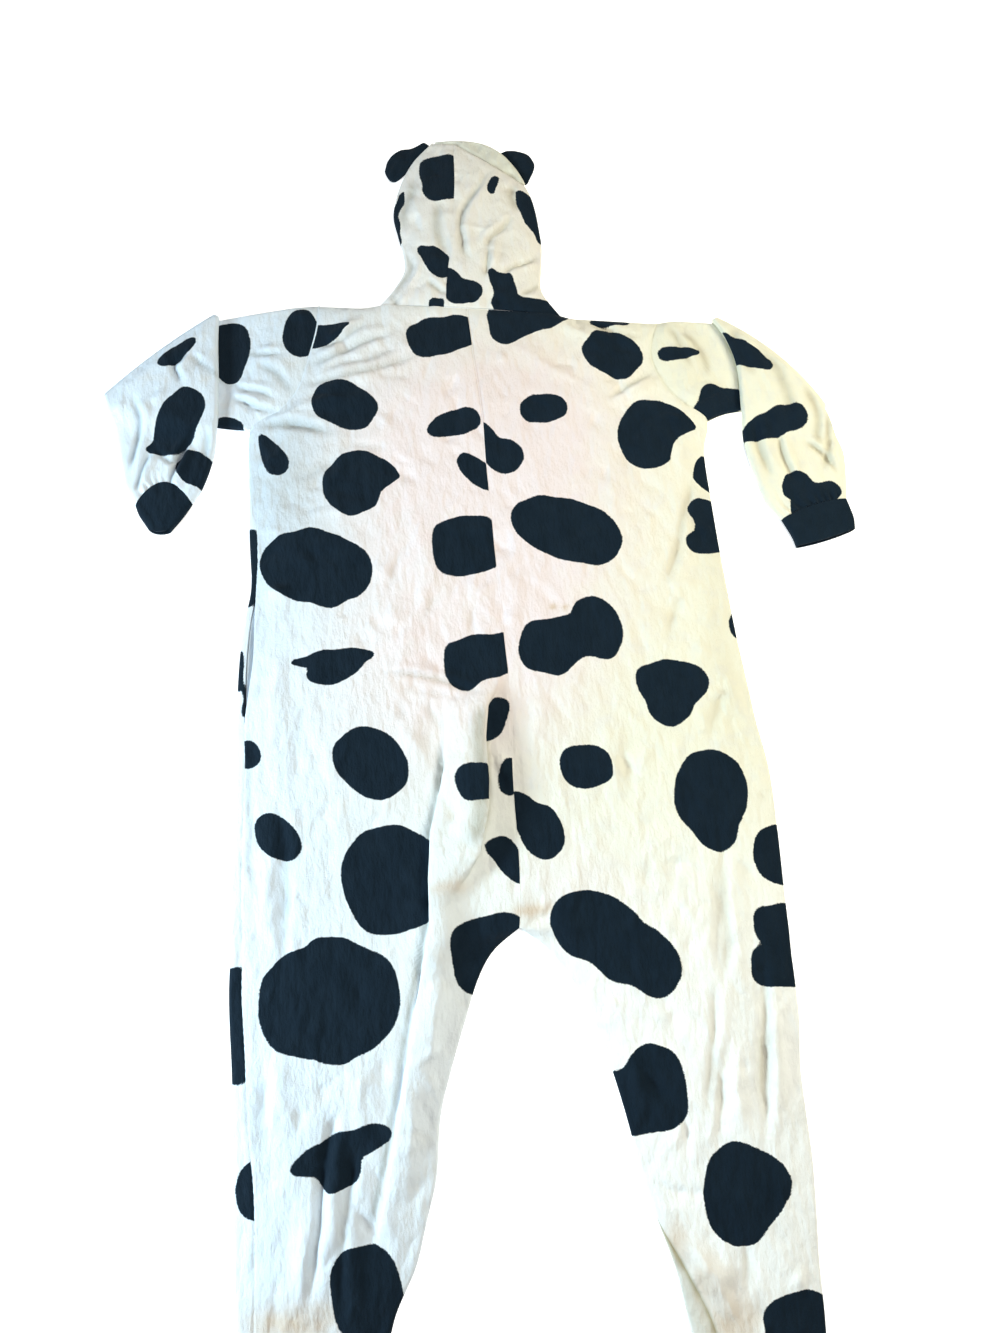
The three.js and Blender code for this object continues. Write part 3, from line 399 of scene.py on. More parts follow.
# Long folds of the back: the places of the line, half width and height
BACK_FOLDS = [
    ([(-236, -196), (-244, -213), (-255, -265), (-261, -317), (-268, -350), (-278, -410)], 6, 7),
    ([(-214, -230), (-226, -290), (-236, -360), (-232, -420)], 6, 4),
    ([(238, -76), (228, -130), (219, -173), (203, -240)], 5, 3.5),
    ([(304, -60), (294, -120), (287, -179), (271, -262)], 5, 3.5),
    ([(-300, 196), (-290, 110), (-292, 40), (-300, -40)], 6, 3),
    ([(272, 84), (262, 20), (258, -40), (244, -96)], 6, 3),
    ([(-232, 872), (-196, 880), (-150, 912)], 5, 4),
    ([(-266, 836), (-210, 850), (-160, 874), (-104, 886)], 6, 4.5),
    ([(-272, 808), (-210, 812), (-140, 826), (-60, 850)], 6, 4.5),
    ([(-322, 746), (-270, 742), (-200, 716)], 6, 4),
    ([(272, 788), (236, 768), (190, 742)], 5, 4),
    ([(268, 842), (220, 862), (176, 886)], 5, 4),
    ([(-168, 352), (-100, 338), (-56, 322), (-20, 306)], 4, 4),
    ([(312, 612), (288, 560), (268, 500), (240, 436)], 6, 4),
]

# Two folds where the slack of the seat lies over itself. Each row is a height on the pattern,
# the fold's place across, how far it leans over, and how high it stands.
SEAT_FOLD = np.array([
    [340, 12, 0, 0],
    [318, 2, 3, 5],
    [290, -16, 7, 11],
    [245, -24, 9, 17],
    [190, -25, 10, 20],
    [150, -29, 11, 22],
    [120, -37, 11, 22],
    [95, -44, 11, 18],
    [74, -56, 7, 12],
    [52, -74, 3, 6],
    [30, -92, 0, 0],
], float)
POUCH_FOLD = np.array([
    [325, -70, 0, 0],
    [290, -73, 2, 3],
    [250, -76, 4, 6],
    [212, -80, 6, 9],
    [165, -92, 8, 11],
    [128, -103, 8, 12],
    [70, -109, 8, 11],
    [14, -112, 7, 10],
    [-98, -139, 5, 8],
    [-241, -171, 4, 6],
    [-317, -190, 2, 3],
    [-370, -204, 0, 0],
], float)
FOLD_CORE = 10
FOLD_BACK = 30
FOLD_POINTS = 25
CREASE_WAVER = 2.6


def smooth(x):
    """3x^2 - 2x^3 between 0 and 1."""
    c = np.clip(x, 0, 1)
    return c * c * (3 - 2 * c)


def read(table, t):
    """Catmull-Rom curve through a table's rows, at fractional rows t."""
    last = len(table) - 1
    k = np.clip(np.floor(t).astype(int), 0, last - 1)
    f = (t - k)[:, None]
    a, b, c, d = (table[np.clip(k + step, 0, last)] for step in (-1, 0, 1, 2))
    rise, run = (c - a) / 2, (d - b) / 2
    return b + f * rise + f**2 * (3 * (c - b) - 2 * rise - run) + f**3 * (2 * (b - c) + rise + run)


def pair(rows, k):
    """Places in the plan that rows of a table hold in their k-th pair of columns."""
    return rows[:, 2 * k:2 * k + 2]


def paths_of(table, *pairs):
    """Function that gives some of a table's paths at fractional rows."""
    return lambda t: [pair(read(table, t), k) for k in pairs]


def even_rows(paths_at, step, last):
    """Fractional rows a step apart, measured along the mean of the paths."""
    t = np.linspace(0, last, 1200)
    paths = paths_at(t)
    reach = sum(np.hypot(*np.diff(path, axis=0).T) for path in paths) / len(paths)
    reach = np.concatenate([[0], np.cumsum(reach)])
    return np.interp(np.linspace(0, reach[-1], int(reach[-1] / step) + 1), reach, t)


def crease_height(x, y, table):
    """Sum of ridges height * exp(-|off / width|^1.6), faded in from both ends of each crease,
    which wavers a little."""
    x, y = x + CREASE_WAVER * wobble(x, y, 61), y + CREASE_WAVER * wobble(x, y, 62)
    total = np.zeros_like(x)
    for x1, y1, x2, y2, bow, width, height in table:
        length = hypot(x2 - x1, y2 - y1)
        along = ((x - x1) * (x2 - x1) + (y - y1) * (y2 - y1)) / length**2
        off = ((x - x1) * (y2 - y1) - (y - y1) * (x2 - x1)) / length - 4 * bow * along * (1 - along)
        ends = smooth(along * 2.2) * smooth((1 - along) * 2.2)
        total += height * ends * np.exp(-np.abs(off / width)**1.6)
    return total


def to_segment(x, y, start, end):
    """Share along a segment of its place nearest to x, y, and the gap from there in x and in y."""
    dx, dy = end[0] - start[0], end[1] - start[1]
    share = np.clip(((x - start[0]) * dx + (y - start[1]) * dy) / (dx**2 + dy**2), 0, 1)
    return share, x - start[0] - share * dx, y - start[1] - share * dy


def fold_lines(x, y, folds):
    """Long folds along curves. Across a fold, height is -exp(-(d / width)^2) in its trough and
    0.7 * exp(-((d - 2.2 width) / (1.6 width))^2) over the ridge on its left. Gives the sum of
    the heights, and how deep in a trough each place is, from 0 to 1."""
    total, deepest = np.zeros_like(x), np.zeros_like(x)
    for path, width, height in folds:
        line = read(np.array(path, float), np.linspace(0, len(path) - 1, FOLD_POINTS))
        nearest, signed, share = np.full(x.shape, 1e6), np.zeros_like(x), np.zeros_like(x)
        for k, (start, end) in enumerate(zip(line[:-1], line[1:])):
            along, gap_x, gap_y = to_segment(x, y, start, end)
            reach = np.hypot(gap_x, gap_y)
            closer = reach < nearest
            left = np.sign((end[0] - start[0]) * gap_y - (end[1] - start[1]) * gap_x)
            nearest = np.where(closer, reach, nearest)
            signed = np.where(closer, reach * left, signed)
            share = np.where(closer, (k + along) / (len(line) - 1), share)
        ends = smooth(share * 3.5) * smooth((1 - share) * 3.5)
        trough = ends * np.exp(-(signed / width)**2)
        ridge = ends * np.exp(-((signed - 2.2 * width) / (1.6 * width))**2)
        total += height * (0.7 * ridge - trough)
        deepest = np.maximum(deepest, trough)
    return total, deepest


def scattered_wrinkles(count, seed, box, tilt, lengths, heights):
    """Small seeded creases all over a box, spread in length, tilt, width and height."""
    draw = np.random.default_rng(seed)
    x = draw.uniform(box[0], box[2], count)
    y = draw.uniform(box[1], box[3], count)
    length = draw.uniform(*lengths, count)
    turn = radians(90) + draw.normal(0, tilt, count)
    width = draw.uniform(3.0, 9.0, count)
    height = width * draw.uniform(*heights, count) * np.sign(draw.uniform(-1.4, 1, count))
    return np.stack([x, y, x + length * np.cos(turn), y + length * np.sin(turn),
                     draw.normal(0, 0.12, count) * length, width, height], axis=1)


def lean_over(x, y, table, side):
    """Shift across and lift of a fold that lies over itself. With d the distance from the fold
    line, the shift is reach * (d / core) * exp((1 - (d / core)^2) / 2) and the lift falls from
    the fold's height to nothing across the core, and slowly behind it."""
    line, reach, height = (np.interp(-y, -table[:, 0], table[:, k]) for k in (1, 2, 3))
    d = side * (x - line)
    shift = -side * reach * (d / FOLD_CORE) * np.exp((1 - (d / FOLD_CORE)**2) / 2)
    behind = np.exp(-(np.minimum(d + FOLD_CORE, 0) / FOLD_BACK)**2)
    lift = height * behind * (1 - smooth((d + FOLD_CORE) / (2 * FOLD_CORE)))
    return shift, lift


def half_of(side, step):
    """Rows of the left or right half of the body with its leg: ends, rolls and heights."""
    left = side == "left"
    outer, leg_outer, leg_inner = (0, 0, 1) if left else (2, 3, 2)
    body_t = even_rows(paths_of(BODY, outer, 1), step, len(BODY) - 1)
    leg_t = even_rows(paths_of(LEG, leg_outer, leg_inner), step, len(LEG) - 1)[1:]
    body, leg = read(BODY, body_t), read(LEG, leg_t)

    def join(first, second):
        return np.concatenate([first, second])[:, None]

    none = np.zeros(len(body_t))
    t = join(body_t, len(BODY) - 1 + leg_t)
    rows = SimpleNamespace(
        t=t,
        outer=np.concatenate([pair(body, outer), pair(leg, leg_outer)]),
        inner=np.concatenate([pair(body, 1), pair(leg, leg_inner)]),
        edge=join(body[:, 6], np.full(len(leg_t), 2 * SIDE_ROLL)),
        rise=join(body[:, 7], leg[:, 8]),
        wrap=np.maximum(join(body[:, 8], leg[:, 9]), 0) if left else 0 * t,
        gape=np.maximum(join(body[:, 9], 0 * leg_t), 0) if left else 0 * t,
        hem=0 * t if left else np.maximum(join(none, leg[:, 10]), 0),
        apart=smooth((t - len(BODY) + 1) / 0.7),
        closed=smooth((t - UNDERARM) / 0.3),
    )
    rows.outer_roll = SIDE_ROLL * rows.closed
    rows.inner_roll = SIDE_ROLL * rows.apart
    rows.width = np.hypot(*(rows.inner - rows.outer).T)[:, None]
    rows.direction = (rows.inner - rows.outer) / rows.width
    rows.girth = rows.width + (pi / 2 - 1) * (rows.outer_roll + rows.inner_roll)
    return rows


wrinkles = scattered_wrinkles(900, 7, (-360, -560, 350, 930), 0.7, (18, 80), (0.10, 0.46))


def back_height(rows, x, y, from_outer, from_inner):
    """Height of the back: edge + rise * (1 - exp(-distance from the edge / rise length)), with
    the creases, pressed down beside the shoulder seams."""
    inside = (1 - np.exp(-from_outer / RISE_LENGTH)) * (1 - rows.apart * np.exp(-from_inner / RISE_LENGTH))
    fade = smooth(from_outer / EDGE_FADE) * (1 - rows.apart * (1 - smooth(from_inner / EDGE_FADE)))
    height = rows.edge + rows.rise * inside
    height = height + fade * (0.9 * crease_height(x, y, CREASES) + fold_lines(x, y, BACK_FOLDS)[0])
    near = smooth(from_outer / 12) * (1 - rows.apart * (1 - smooth(from_inner / 12)))
    height = height + near * crease_height(x, y, wrinkles)
    shoulder = [np.where(x < 0, BODY[0, k], BODY[0, k + 4]) for k in (0, 1)]
    below = np.hypot(*to_segment(x, y, BODY[0, 2:4], shoulder)[1:])
    pressed = smooth((np.abs(x) - NECK_HALF + 20) / 50) * np.exp(-below / SHOULDER_SLOPE)
    return height + (SHOULDER_HEIGHT - height) * pressed


def around(rows, p):
    """Point at p along the cloth from the outer outline, over the back (+) or the front (-).
    Each edge is a quarter ellipse of the edge's roll and half its height. Past the inner
    outline of a leg the front goes on over the back."""
    p = np.where((rows.apart > 0.5) & (p < -rows.girth), p + 2 * rows.girth, p)
    far = np.abs(p)
    back = rows.girth - far
    outer_quarter, inner_quarter = rows.outer_roll * pi / 2, rows.inner_roll * pi / 2
    at_outer, at_inner = far < outer_quarter, (back < inner_quarter) & (back >= 0)
    outer_angle = far / np.maximum(rows.outer_roll, 1e-6)
    inner_angle = back / np.maximum(rows.inner_roll, 1e-6)
    place = far - outer_quarter + rows.outer_roll
    place = np.where(at_outer, rows.outer_roll * (1 - np.cos(outer_angle)), place)
    place = np.where(at_inner, rows.width - rows.inner_roll * (1 - np.cos(inner_angle)), place)
    place = np.where(back < 0, rows.width - back, place)
    x = rows.outer[:, :1] + rows.direction[:, :1] * place
    y = rows.outer[:, 1:] + rows.direction[:, 1:] * place
    from_outer = np.maximum(place - rows.outer_roll, 0)
    from_inner = np.maximum(rows.width - place - rows.inner_roll, 0)
    top = back_height(rows, x, y, from_outer, from_inner)
    turn = np.where(at_outer, np.sin(outer_angle), np.where(at_inner, np.sin(inner_angle), 1.0))
    z = np.where(p >= 0, top * (1 + turn) / 2, top * (1 - turn) / 2)
    over = p >= 0
    for table, side in ((SEAT_FOLD, 1), (POUCH_FOLD, -1)):
        shift, lift = lean_over(x, y, table, side)
        x = x + np.where(over, shift, 0)
        z = z + np.where(over, lift, 0)
    return np.stack([x, y, z], axis=-1)


def seam_at(shown, roll):
    """Distance along the cloth of a seam that shows this far inside the outline."""
    turned = roll * np.arccos(np.clip(1 - shown / np.maximum(roll, 1), -1, 1))
    return np.where(shown > roll, shown - roll + roll * pi / 2, turned)


def normals(points, wrapped):
    """Unit normals of a grid of points: the cross product of its two central differences."""
    down = np.gradient(points, axis=0)
    if wrapped:
        across = (np.roll(points, -1, axis=1) - np.roll(points, 1, axis=1)) / 2
    else:
        across = np.gradient(points, axis=1)
    cross = np.cross(down, across)
    return cross / np.maximum(np.linalg.norm(cross, axis=-1, keepdims=True), 1e-9)


def grid_faces(rows, columns, wrapped):
    """Quads over a grid of points that are numbered row by row."""
    i, j = np.meshgrid(np.arange(rows - 1), np.arange(columns if wrapped else columns - 1), indexing="ij")
    here, right = i * columns + j, i * columns + (j + 1) % columns
    return np.stack([here, right, right + columns, here + columns], axis=-1).reshape(-1, 4)


def wall_faces(rows, columns, wrapped):
    """Quads of both faces of a wall and of its rims, over two grids of points one after the other."""
    low = rows * columns
    top = grid_faces(rows, columns, wrapped)
    faces = [top, top[:, ::-1] + low]
    j = np.arange(columns if wrapped else columns - 1)
    for row, order in ((0, 1), (rows - 1, -1)):
        a, b = row * columns + j, row * columns + (j + 1) % columns
        faces.append(np.stack([a, a + low, b + low, b], axis=-1)[:, ::order])
    if not wrapped:
        i = np.arange(rows - 1)
        for column, order in ((0, -1), (columns - 1, 1)):
            a, b = i * columns + column, (i + 1) * columns + column
            faces.append(np.stack([a, a + low, b + low, b], axis=-1)[:, ::order])
    return np.concatenate(faces)


def volume(points, faces):
    """Signed volume of a closed mesh of quads."""
    a, b, c, d = (points[faces[:, k]] for k in range(4))
    return (a * np.cross(b, c)).sum() + (a * np.cross(c, d)).sum()


# The pattern's frame is set from the third front button, which lies on the centre line
BUTTON_STATIONS = [1.2, 3.7, 6.6, 8.5, 10.8]
button_low, button_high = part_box("button_3")
button_plan = read(BODY, np.array([BUTTON_STATIONS[2]]))[0, 2:4]
shift_plan = 500 * (np.array(button_low[:2]) + np.array(button_high[:2])) - button_plan


def to_row(points):
    """Millimetres of the pattern to metres of the frame."""
    return (points + np.array([*shift_plan, 0.0])) / 1000


def closed_mesh(name, points, faces, material):
    """Object from a closed shape in millimetres, with its faces turned outwards."""
    if volume(points, faces) < 0:
        faces = faces[:, ::-1]
    return make_mesh(name, to_row(points), faces, material)


def replace_solid(piece, node):
    """The piece stands in for its solid, and lies still with the rest of the garment."""
    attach(piece, "root")
    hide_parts(node)


def cloth_wall(name, outer, material, up=1, wrapped=False, guide=None, **marks):
    """Wall of cloth behind a grid of outer points. up is the sign of the outer side's mean
    height, or 0 for a tube, whose outer side faces away from its middle. guide is the same
    grid without its seam grooves, which would turn the inner side askew."""
    sides = normals(outer if guide is None else guide, wrapped)
    if up == 0:
        middle = outer.mean(axis=1, keepdims=True)
        facing = np.sign((sides * (outer - middle)).sum())
    else:
        facing = up * np.sign(sides[..., 2].sum())
    inner = outer - facing * CLOTH * sides
    points = np.concatenate([outer.reshape(-1, 3), inner.reshape(-1, 3)])
    piece = closed_mesh(name, points, wall_faces(*outer.shape[:2], wrapped), material)
    for mark, values in marks.items():
        layer = piece.data.attributes.new(mark, "FLOAT", "POINT")
        layer.data.foreach_set("value", np.tile(values.ravel(), 2).astype(np.float32))
    return piece


def wobble(x, y, seed):
    """Smooth unevenness between about -1 and 1: a sum of five sines with seeded directions."""
    draw = np.random.default_rng(seed)
    total = np.zeros_like(x)
    for _ in range(5):
        turn, phase = draw.uniform(0, 2 * pi, 2)
        wave = draw.uniform(26, 75)
        total += np.sin((x * cos(turn) + y * sin(turn)) * 2 * pi / wave + phase)
    return total / 2.4


def print_depth(x, y, patches, seed=1):
    """Depth in millimetres inside the nearest patch, negative outside. A patch is an oval
    |u|^power + |v|^power = 1 over its half sizes, with its middle bent and one end tapered.
    A row with ink 0 clears the print again."""
    x, y = x + PRINT_WAVER * wobble(x, y, seed), y + PRINT_WAVER * wobble(x, y, seed + 50)
    depth = np.full(x.shape, NO_PRINT)
    for middle_x, middle_y, long, short, tilt, *shape in patches:
        power, taper, bend, ink = (*shape, *PLAIN_OVAL[len(shape):])
        c, s = cos(radians(tilt)), sin(radians(tilt))
        u = ((x - middle_x) * c + (y - middle_y) * s) / long
        v = ((y - middle_y) * c - (x - middle_x) * s) / short
        v = (v - bend * (u * u - 0.4)) / np.maximum(1 + taper * u, 0.15)
        r = (np.abs(u)**power + np.abs(v)**power)**(1 / power)
        slope = np.hypot(u / long, v / short) / np.maximum(r, 1e-3)
        inside = (1 - r) / np.maximum(slope, 1e-4)
        if ink:
            near = np.maximum(PATCH_JOIN - np.abs(depth - inside), 0)
            depth = np.maximum(depth, inside) + near**2 / (4 * PATCH_JOIN)
        else:
            depth = np.minimum(depth, -inside)
    return depth


def soft_spots(x, y, spots):
    """Sum of soft spots strength * exp(-(u^2 + v^2)), at most 1."""
    total = np.zeros_like(x)
    for middle_x, middle_y, half_x, half_y, strength in spots:
        total += strength * np.exp(-((x - middle_x) / half_x)**2 - ((y - middle_y) / half_y)**2)
    return np.clip(total, 0, 1)


# Patches: middle, half length, half width and tilt from +X, then power, taper, bend and ink as
# far as they differ from a plain oval's
PLAIN_OVAL = (2.2, 0, 0, 1)
PATCH_JOIN = 9
PRINT_WAVER = 1.5
NO_PRINT = -60.0
BACK_LEFT_PATCHES = [
    (-40, 874, 56, 34, 8, 2.6, -0.12),
    (-214, 893, 38, 17, 14, 2.2, -0.7),
    (-192, 766, 50, 37, -32, 2.4),
    (-34, 722, 41, 21, 13, 2.2, 0.15, -0.05),
    (-303, 696, 38, 17, -64, 2.2, 0.5),
    (-184, 638, 52, 43, 80, 2.1),
    (-152, 648, 34, 29, -8, 2, -0.45),
    (-5, 641, 38, 18, -48, 2.2, 0.1, 0.1),
    (-29, 526, 47, 45, 3, 3.4),
    (-242, 511, 81, 54, -17, 2.1),
    (-250, 557, 22, 14, 0, 2),
    (-222, 464, 24, 16, 0, 2),
    (-14, 359, 56, 32, 6, 2.8, -0.1),
    (-44, 342, 28, 29, 0, 2.1),
    (-222, 374, 56, 13, 2, 1.9, 0.1),
    (-220, 360, 40, 21, 14, 1.8),
    (-341, 251, 19, 18, 90, 2),
    (-6, 271, 32, 14, 68, 2.4),
    (4, 192, 25, 11, 84, 2.6),
    (-43, 186, 25, 23, 87),
    (-176, 226, 54, 42, -48, 2.3),
    (-302, 138, 37, 23, -50, 2.3),
    (-160, 73, 69, 60, -84, 2.3),
    (-58, 62, 100, 47, 92, 5, 0, 0, 0),
    (-5, 85, 34, 17, -64, 2.2, -0.1),
    (-36, -28, 52, 47, 9, 3),
    (-242, -67, 87, 68, 0, 2.35),
    (-238, -2, 26, 13, -8, 2),
    (-226, -126, 30, 13, 12, 2),
    (-234, -236, 60, 18, 17),
    (-236, -257, 27, 22, 20, 2),
    (-208, -387, 51, 41, -80, 2.3),
    (-300, -500, 40, 30, 30, 2.2, 0, 0.2),
    (-222, -548, 26, 34, 20),
]
BACK_RIGHT_PATCHES = [
    (88, 905, 58, 41, 14, 2.4),
    (57, 873, 24, 24, 60),
    (132, 889, 24, 9, 10, 2, -0.4),
    (217, 880, 31, 9, -9, 3),
    (213, 821, 46, 36, -42, 2.6),
    (99, 736, 35, 24, -2, 2.3, 0, -0.05),
    (250, 681, 57, 43, 82),
    (281, 695, 41, 35, -8, 2, -0.55),
    (322, 638, 50, 44, 60, 2, 0, 0, 0),
    (36, 662, 29, 27, -30),
    (16, 692, 31, 14, -72, 2),
    (330, 612, 30, 24, -82, 1.4),
    (115, 539, 82, 46, -25, 2.3, 0.05, -0.06),
    (314, 555, 24, 19, 0),
    (308, 505, 28, 17, -4, 2.6),
    (325, 528, 34, 27, 88),
    (73, 367, 43, 40, -20),
    (104, 378, 40, 32, 10),
    (141, 390, 48, 33, -75, 2.1),
    (336, 379, 19, 11, 90, 2),
    (232, 302, 47, 32, -4, 2.4),
    (260, 303, 26, 20, -30),
    (225, 274, 32, 31, 90, 2),
    (105, 198, 35, 29, -6, 2.4),
    (265, 150, 56, 48, 80, 2.3),
    (262, 99, 27, 22, -30, 2.4),
    (40, 117, 35, 28, -80),
    (18, 146, 29, 18, -60),
    (342, 64, 38, 36, 90, 1.9),
    (98, -8, 60, 43, -22),
    (156, -52, 48, 36, -50),
    (124, -34, 46, 38, -34),
    (326, -22, 31, 26, 0, 2.6),
    (320, -72, 37, 26, -8, 2.8),
    (130, -211, 54, 38, 4, 3),
    (146, -182, 34, 34, 70),
    (230, -319, 55, 41, 84, 2.3),
    (256, -314, 36, 35, -40),
    (281, -463, 44, 39, 0, 2.3),
    (200, -530, 34, 26, 40, 2.2, 0, 0.1),
]
# Stains: middle, half sizes and strength
BACK_STAINS = [
    (20, 20, 28, 8, 0.7),
    (-84, 56, 26, 9, 0.42),
    (84, 424, 5, 4, 0.8),
    (101, 422, 4, 4, 0.8),
    (-290, -410, 66, 26, 0.7),
    (204, -452, 34, 34, 0.6),
    (176, -405, 14, 26, 0.6),
    (60, 800, 110, 80, 0.14),
    (200, 560, 160, 240, 0.07),
    (152, -362, 12, 24, 0.6),
    (-110, 330, 60, 14, 0.16),
    (0, 300, 30, 30, 0.14),
    (-150, 815, 60, 14, 0.12),
]
# Areas where the white has aged to a pinkish cream: middle, half sizes and strength
BACK_BLUSH = [
    (-110, 620, 120, 260, 0.75),
    (-90, 330, 120, 130, 0.55),
    (60, 740, 150, 150, 0.8),
    (60, 440, 90, 200, 0.7),
    (150, 560, 120, 200, 0.35),
    (70, 40, 80, 60, 0.3),
]
# Areas of painted shade: middle, half sizes and strength
PAINTED_SHADE_AREAS = [
    (-285, 640, 80, 140, 0.5),
    (-160, 850, 90, 40, 0.16),
    (-336, 420, 26, 140, 0.16),
    (306, 330, 22, 150, 0.18),
    (322, 520, 20, 90, 0.2),
    (268, -150, 16, 90, 0.14),
    (300, -180, 10, 90, 0.16),
]
# Distances of the columns beside a seam from it
EDGE_COLUMNS = np.array([0, 1.1, 2.2, 3.4, 4.8, 6.4, 8.2])
BACK_STEP = 4.2
BACK_COLUMNS = 86
# The left panel's columns stand closer together towards the seat's folds, by this much
SEAT_CROWDING = 0.11


def seam_dip(distance):
    """Groove beside a seam: the cloth turns down into its stitches, a little puckered."""
    return SEAM_DIP * np.exp(-(distance / SEAM_WIDTH)**2)


def grime_in(creases, deep):
    """Painted shade in the bottom of creases: from 0 to 1 as they reach a depth."""
    return np.clip(-creases / deep, 0, 1)**1.3


def seat_grime(x, y):
    """Painted shadow on both sides of the seat fold, and along the crease beside the pouch."""
    total = np.zeros_like(x)
    for table, offset, width, low, high in ((SEAT_FOLD, -15, 7, 96, 300), (SEAT_FOLD, 11, 3, 110, 300),
                                            (POUCH_FOLD, -12, 3.6, -330, 250)):
        line = np.interp(-y, -table[:, 0], table[:, 1])
        reach = smooth((y - low) / 30) * smooth((high - y) / 30)
        total += reach * np.exp(-((x - line - offset) / width)**2)
    return total


def around_plan(rows, p):
    """Place in the plan of a point of the back before its folds lean over."""
    place = np.clip(np.abs(p) - rows.outer_roll * (pi / 2 - 1), 0, rows.width)
    return (rows.outer[:, :1] + rows.direction[:, :1] * place,
            rows.outer[:, 1:] + rows.direction[:, 1:] * place)


def back_panel(side, patches):
    """Grid from the side seam over the back to the centre seam or the leg's inner seam."""
    rows = half_of(side, BACK_STEP)
    start = np.where(rows.closed < 1, rows.outer_roll * pi / 2 * (1 - rows.closed), 0)
    first = np.maximum(seam_at(rows.wrap, rows.outer_roll) + rows.gape, start)
    last = rows.girth - np.maximum(seam_at(rows.hem, rows.inner_roll), 0)
    shares = np.linspace(0, 1, BACK_COLUMNS)
    if side == "left":
        shares = shares + SEAT_CROWDING * np.sin(pi * shares) * shares
    a, b = first + EDGE_COLUMNS[-1], last - EDGE_COLUMNS[-1]
    p = np.concatenate([first + EDGE_COLUMNS[:-1], a + (b - a) * shares, last - EDGE_COLUMNS[-2::-1]], axis=1)
    points = around(rows, p)
    on_top = (p > rows.outer_roll * pi / 2) & (rows.girth - p > rows.inner_roll * pi / 2)
    dip = seam_dip(p - first) + seam_dip(last - p)
    beside = np.exp(-((p - first) / 5)**2) + np.exp(-((last - p) / 5)**2)
    pucker = 0.5 * beside * np.sin(points[..., 1] / 1.7 + 2 * np.sin(points[..., 1] / 19))
    armhole = 1 + 1.6 * (1 - rows.closed)
    neck = np.hypot(points[..., 0] - points[:1, :, 0], points[..., 1] - points[:1, :, 1])
    guide = points.copy()
    points[..., 2] += np.where(on_top, pucker - dip * armhole - 2.2 * seam_dip(neck / 2.4), 0)
    flat = around_plan(rows, p)
    # Painted shade: darker in the troughs of the creases and long folds, beside the seat fold and the pouch,
    # over the shaded areas, and in a line along the right leg's inner hem
    grime = (grime_in(crease_height(*flat, CREASES), 9) + seat_grime(*flat)
             + 0.5 * fold_lines(*flat, BACK_FOLDS)[1] + soft_spots(*flat, PAINTED_SHADE_AREAS)
             + smooth(rows.hem / 8) * np.exp(-((last - p) / 2.6)**2))
    panel = cloth_wall("back_panel_" + side, points, print_fleece, guide=guide,
                       print=print_depth(*flat, patches, seed=3), stain=soft_spots(*flat, BACK_STAINS),
                       blush=soft_spots(*flat, BACK_BLUSH), grime=np.clip(grime, 0, 1))
    replace_solid(panel, "back_" + side)
    return panel


back_left = back_panel("left", BACK_LEFT_PATCHES)
back_right = back_panel("right", BACK_RIGHT_PATCHES)

# Front panels. The two halves of the front with their legs lie underneath. Their side seams
# and the right leg's inner seam show on top, and the left one overlaps the right at the centre.
UNDERLAP = 14
OVERLAP_END = 13
PLACKET_LIFT = 3.6
PLACKET_OVER = 2.9
PLACKET_SPREAD = 18
UNDER_RIDGE = 1.3
FRONT_STEP = 6.0
ROLL_COLUMNS = np.array([0, 1, 2.2, 3.6, 5.2, 7, 9.2, 12, 15, 19, 24, 30, 36])

FRONT_PATCHES = [
    (-337, 520, 60, 14, 89, 4),
    (-351, 368, 28, 7, 88, 3),
    (-340, 324, 21, 7, 88, 3),
    (-362, -87, 68, 24, 90, 4),
    (-332, -270, 33, 27, 90, 1.9),
    (-230, 760, 60, 42, 30, 2.2, 0, 0.1),
    (-120, 610, 70, 50, -20, 2.2, 0.1),
    (-250, 430, 50, 44, 60),
    (-90, 300, 64, 40, 10, 2.2, 0, 0.2),
    (-240, 150, 78, 50, -30, 2.2, 0.1),
    (-100, 30, 44, 36, 40),
    (-230, -180, 66, 48, 15, 2.2, 0, 0.1),
    (-270, -400, 50, 40, 70),
    (180, 790, 58, 40, -30, 2.2, 0, 0.1),
    (90, 660, 48, 40, 20),
    (250, 560, 60, 46, 80, 2.2, 0.1),
    (120, 420, 80, 46, -15, 2.2, 0, -0.2),
    (270, 270, 48, 40, 30),
    (90, 170, 50, 36, -40),
    (250, 10, 76, 50, 60, 2.2, 0.1, 0.1),
    (190, -230, 52, 42, 10),
    (250, -430, 58, 44, -60),
]


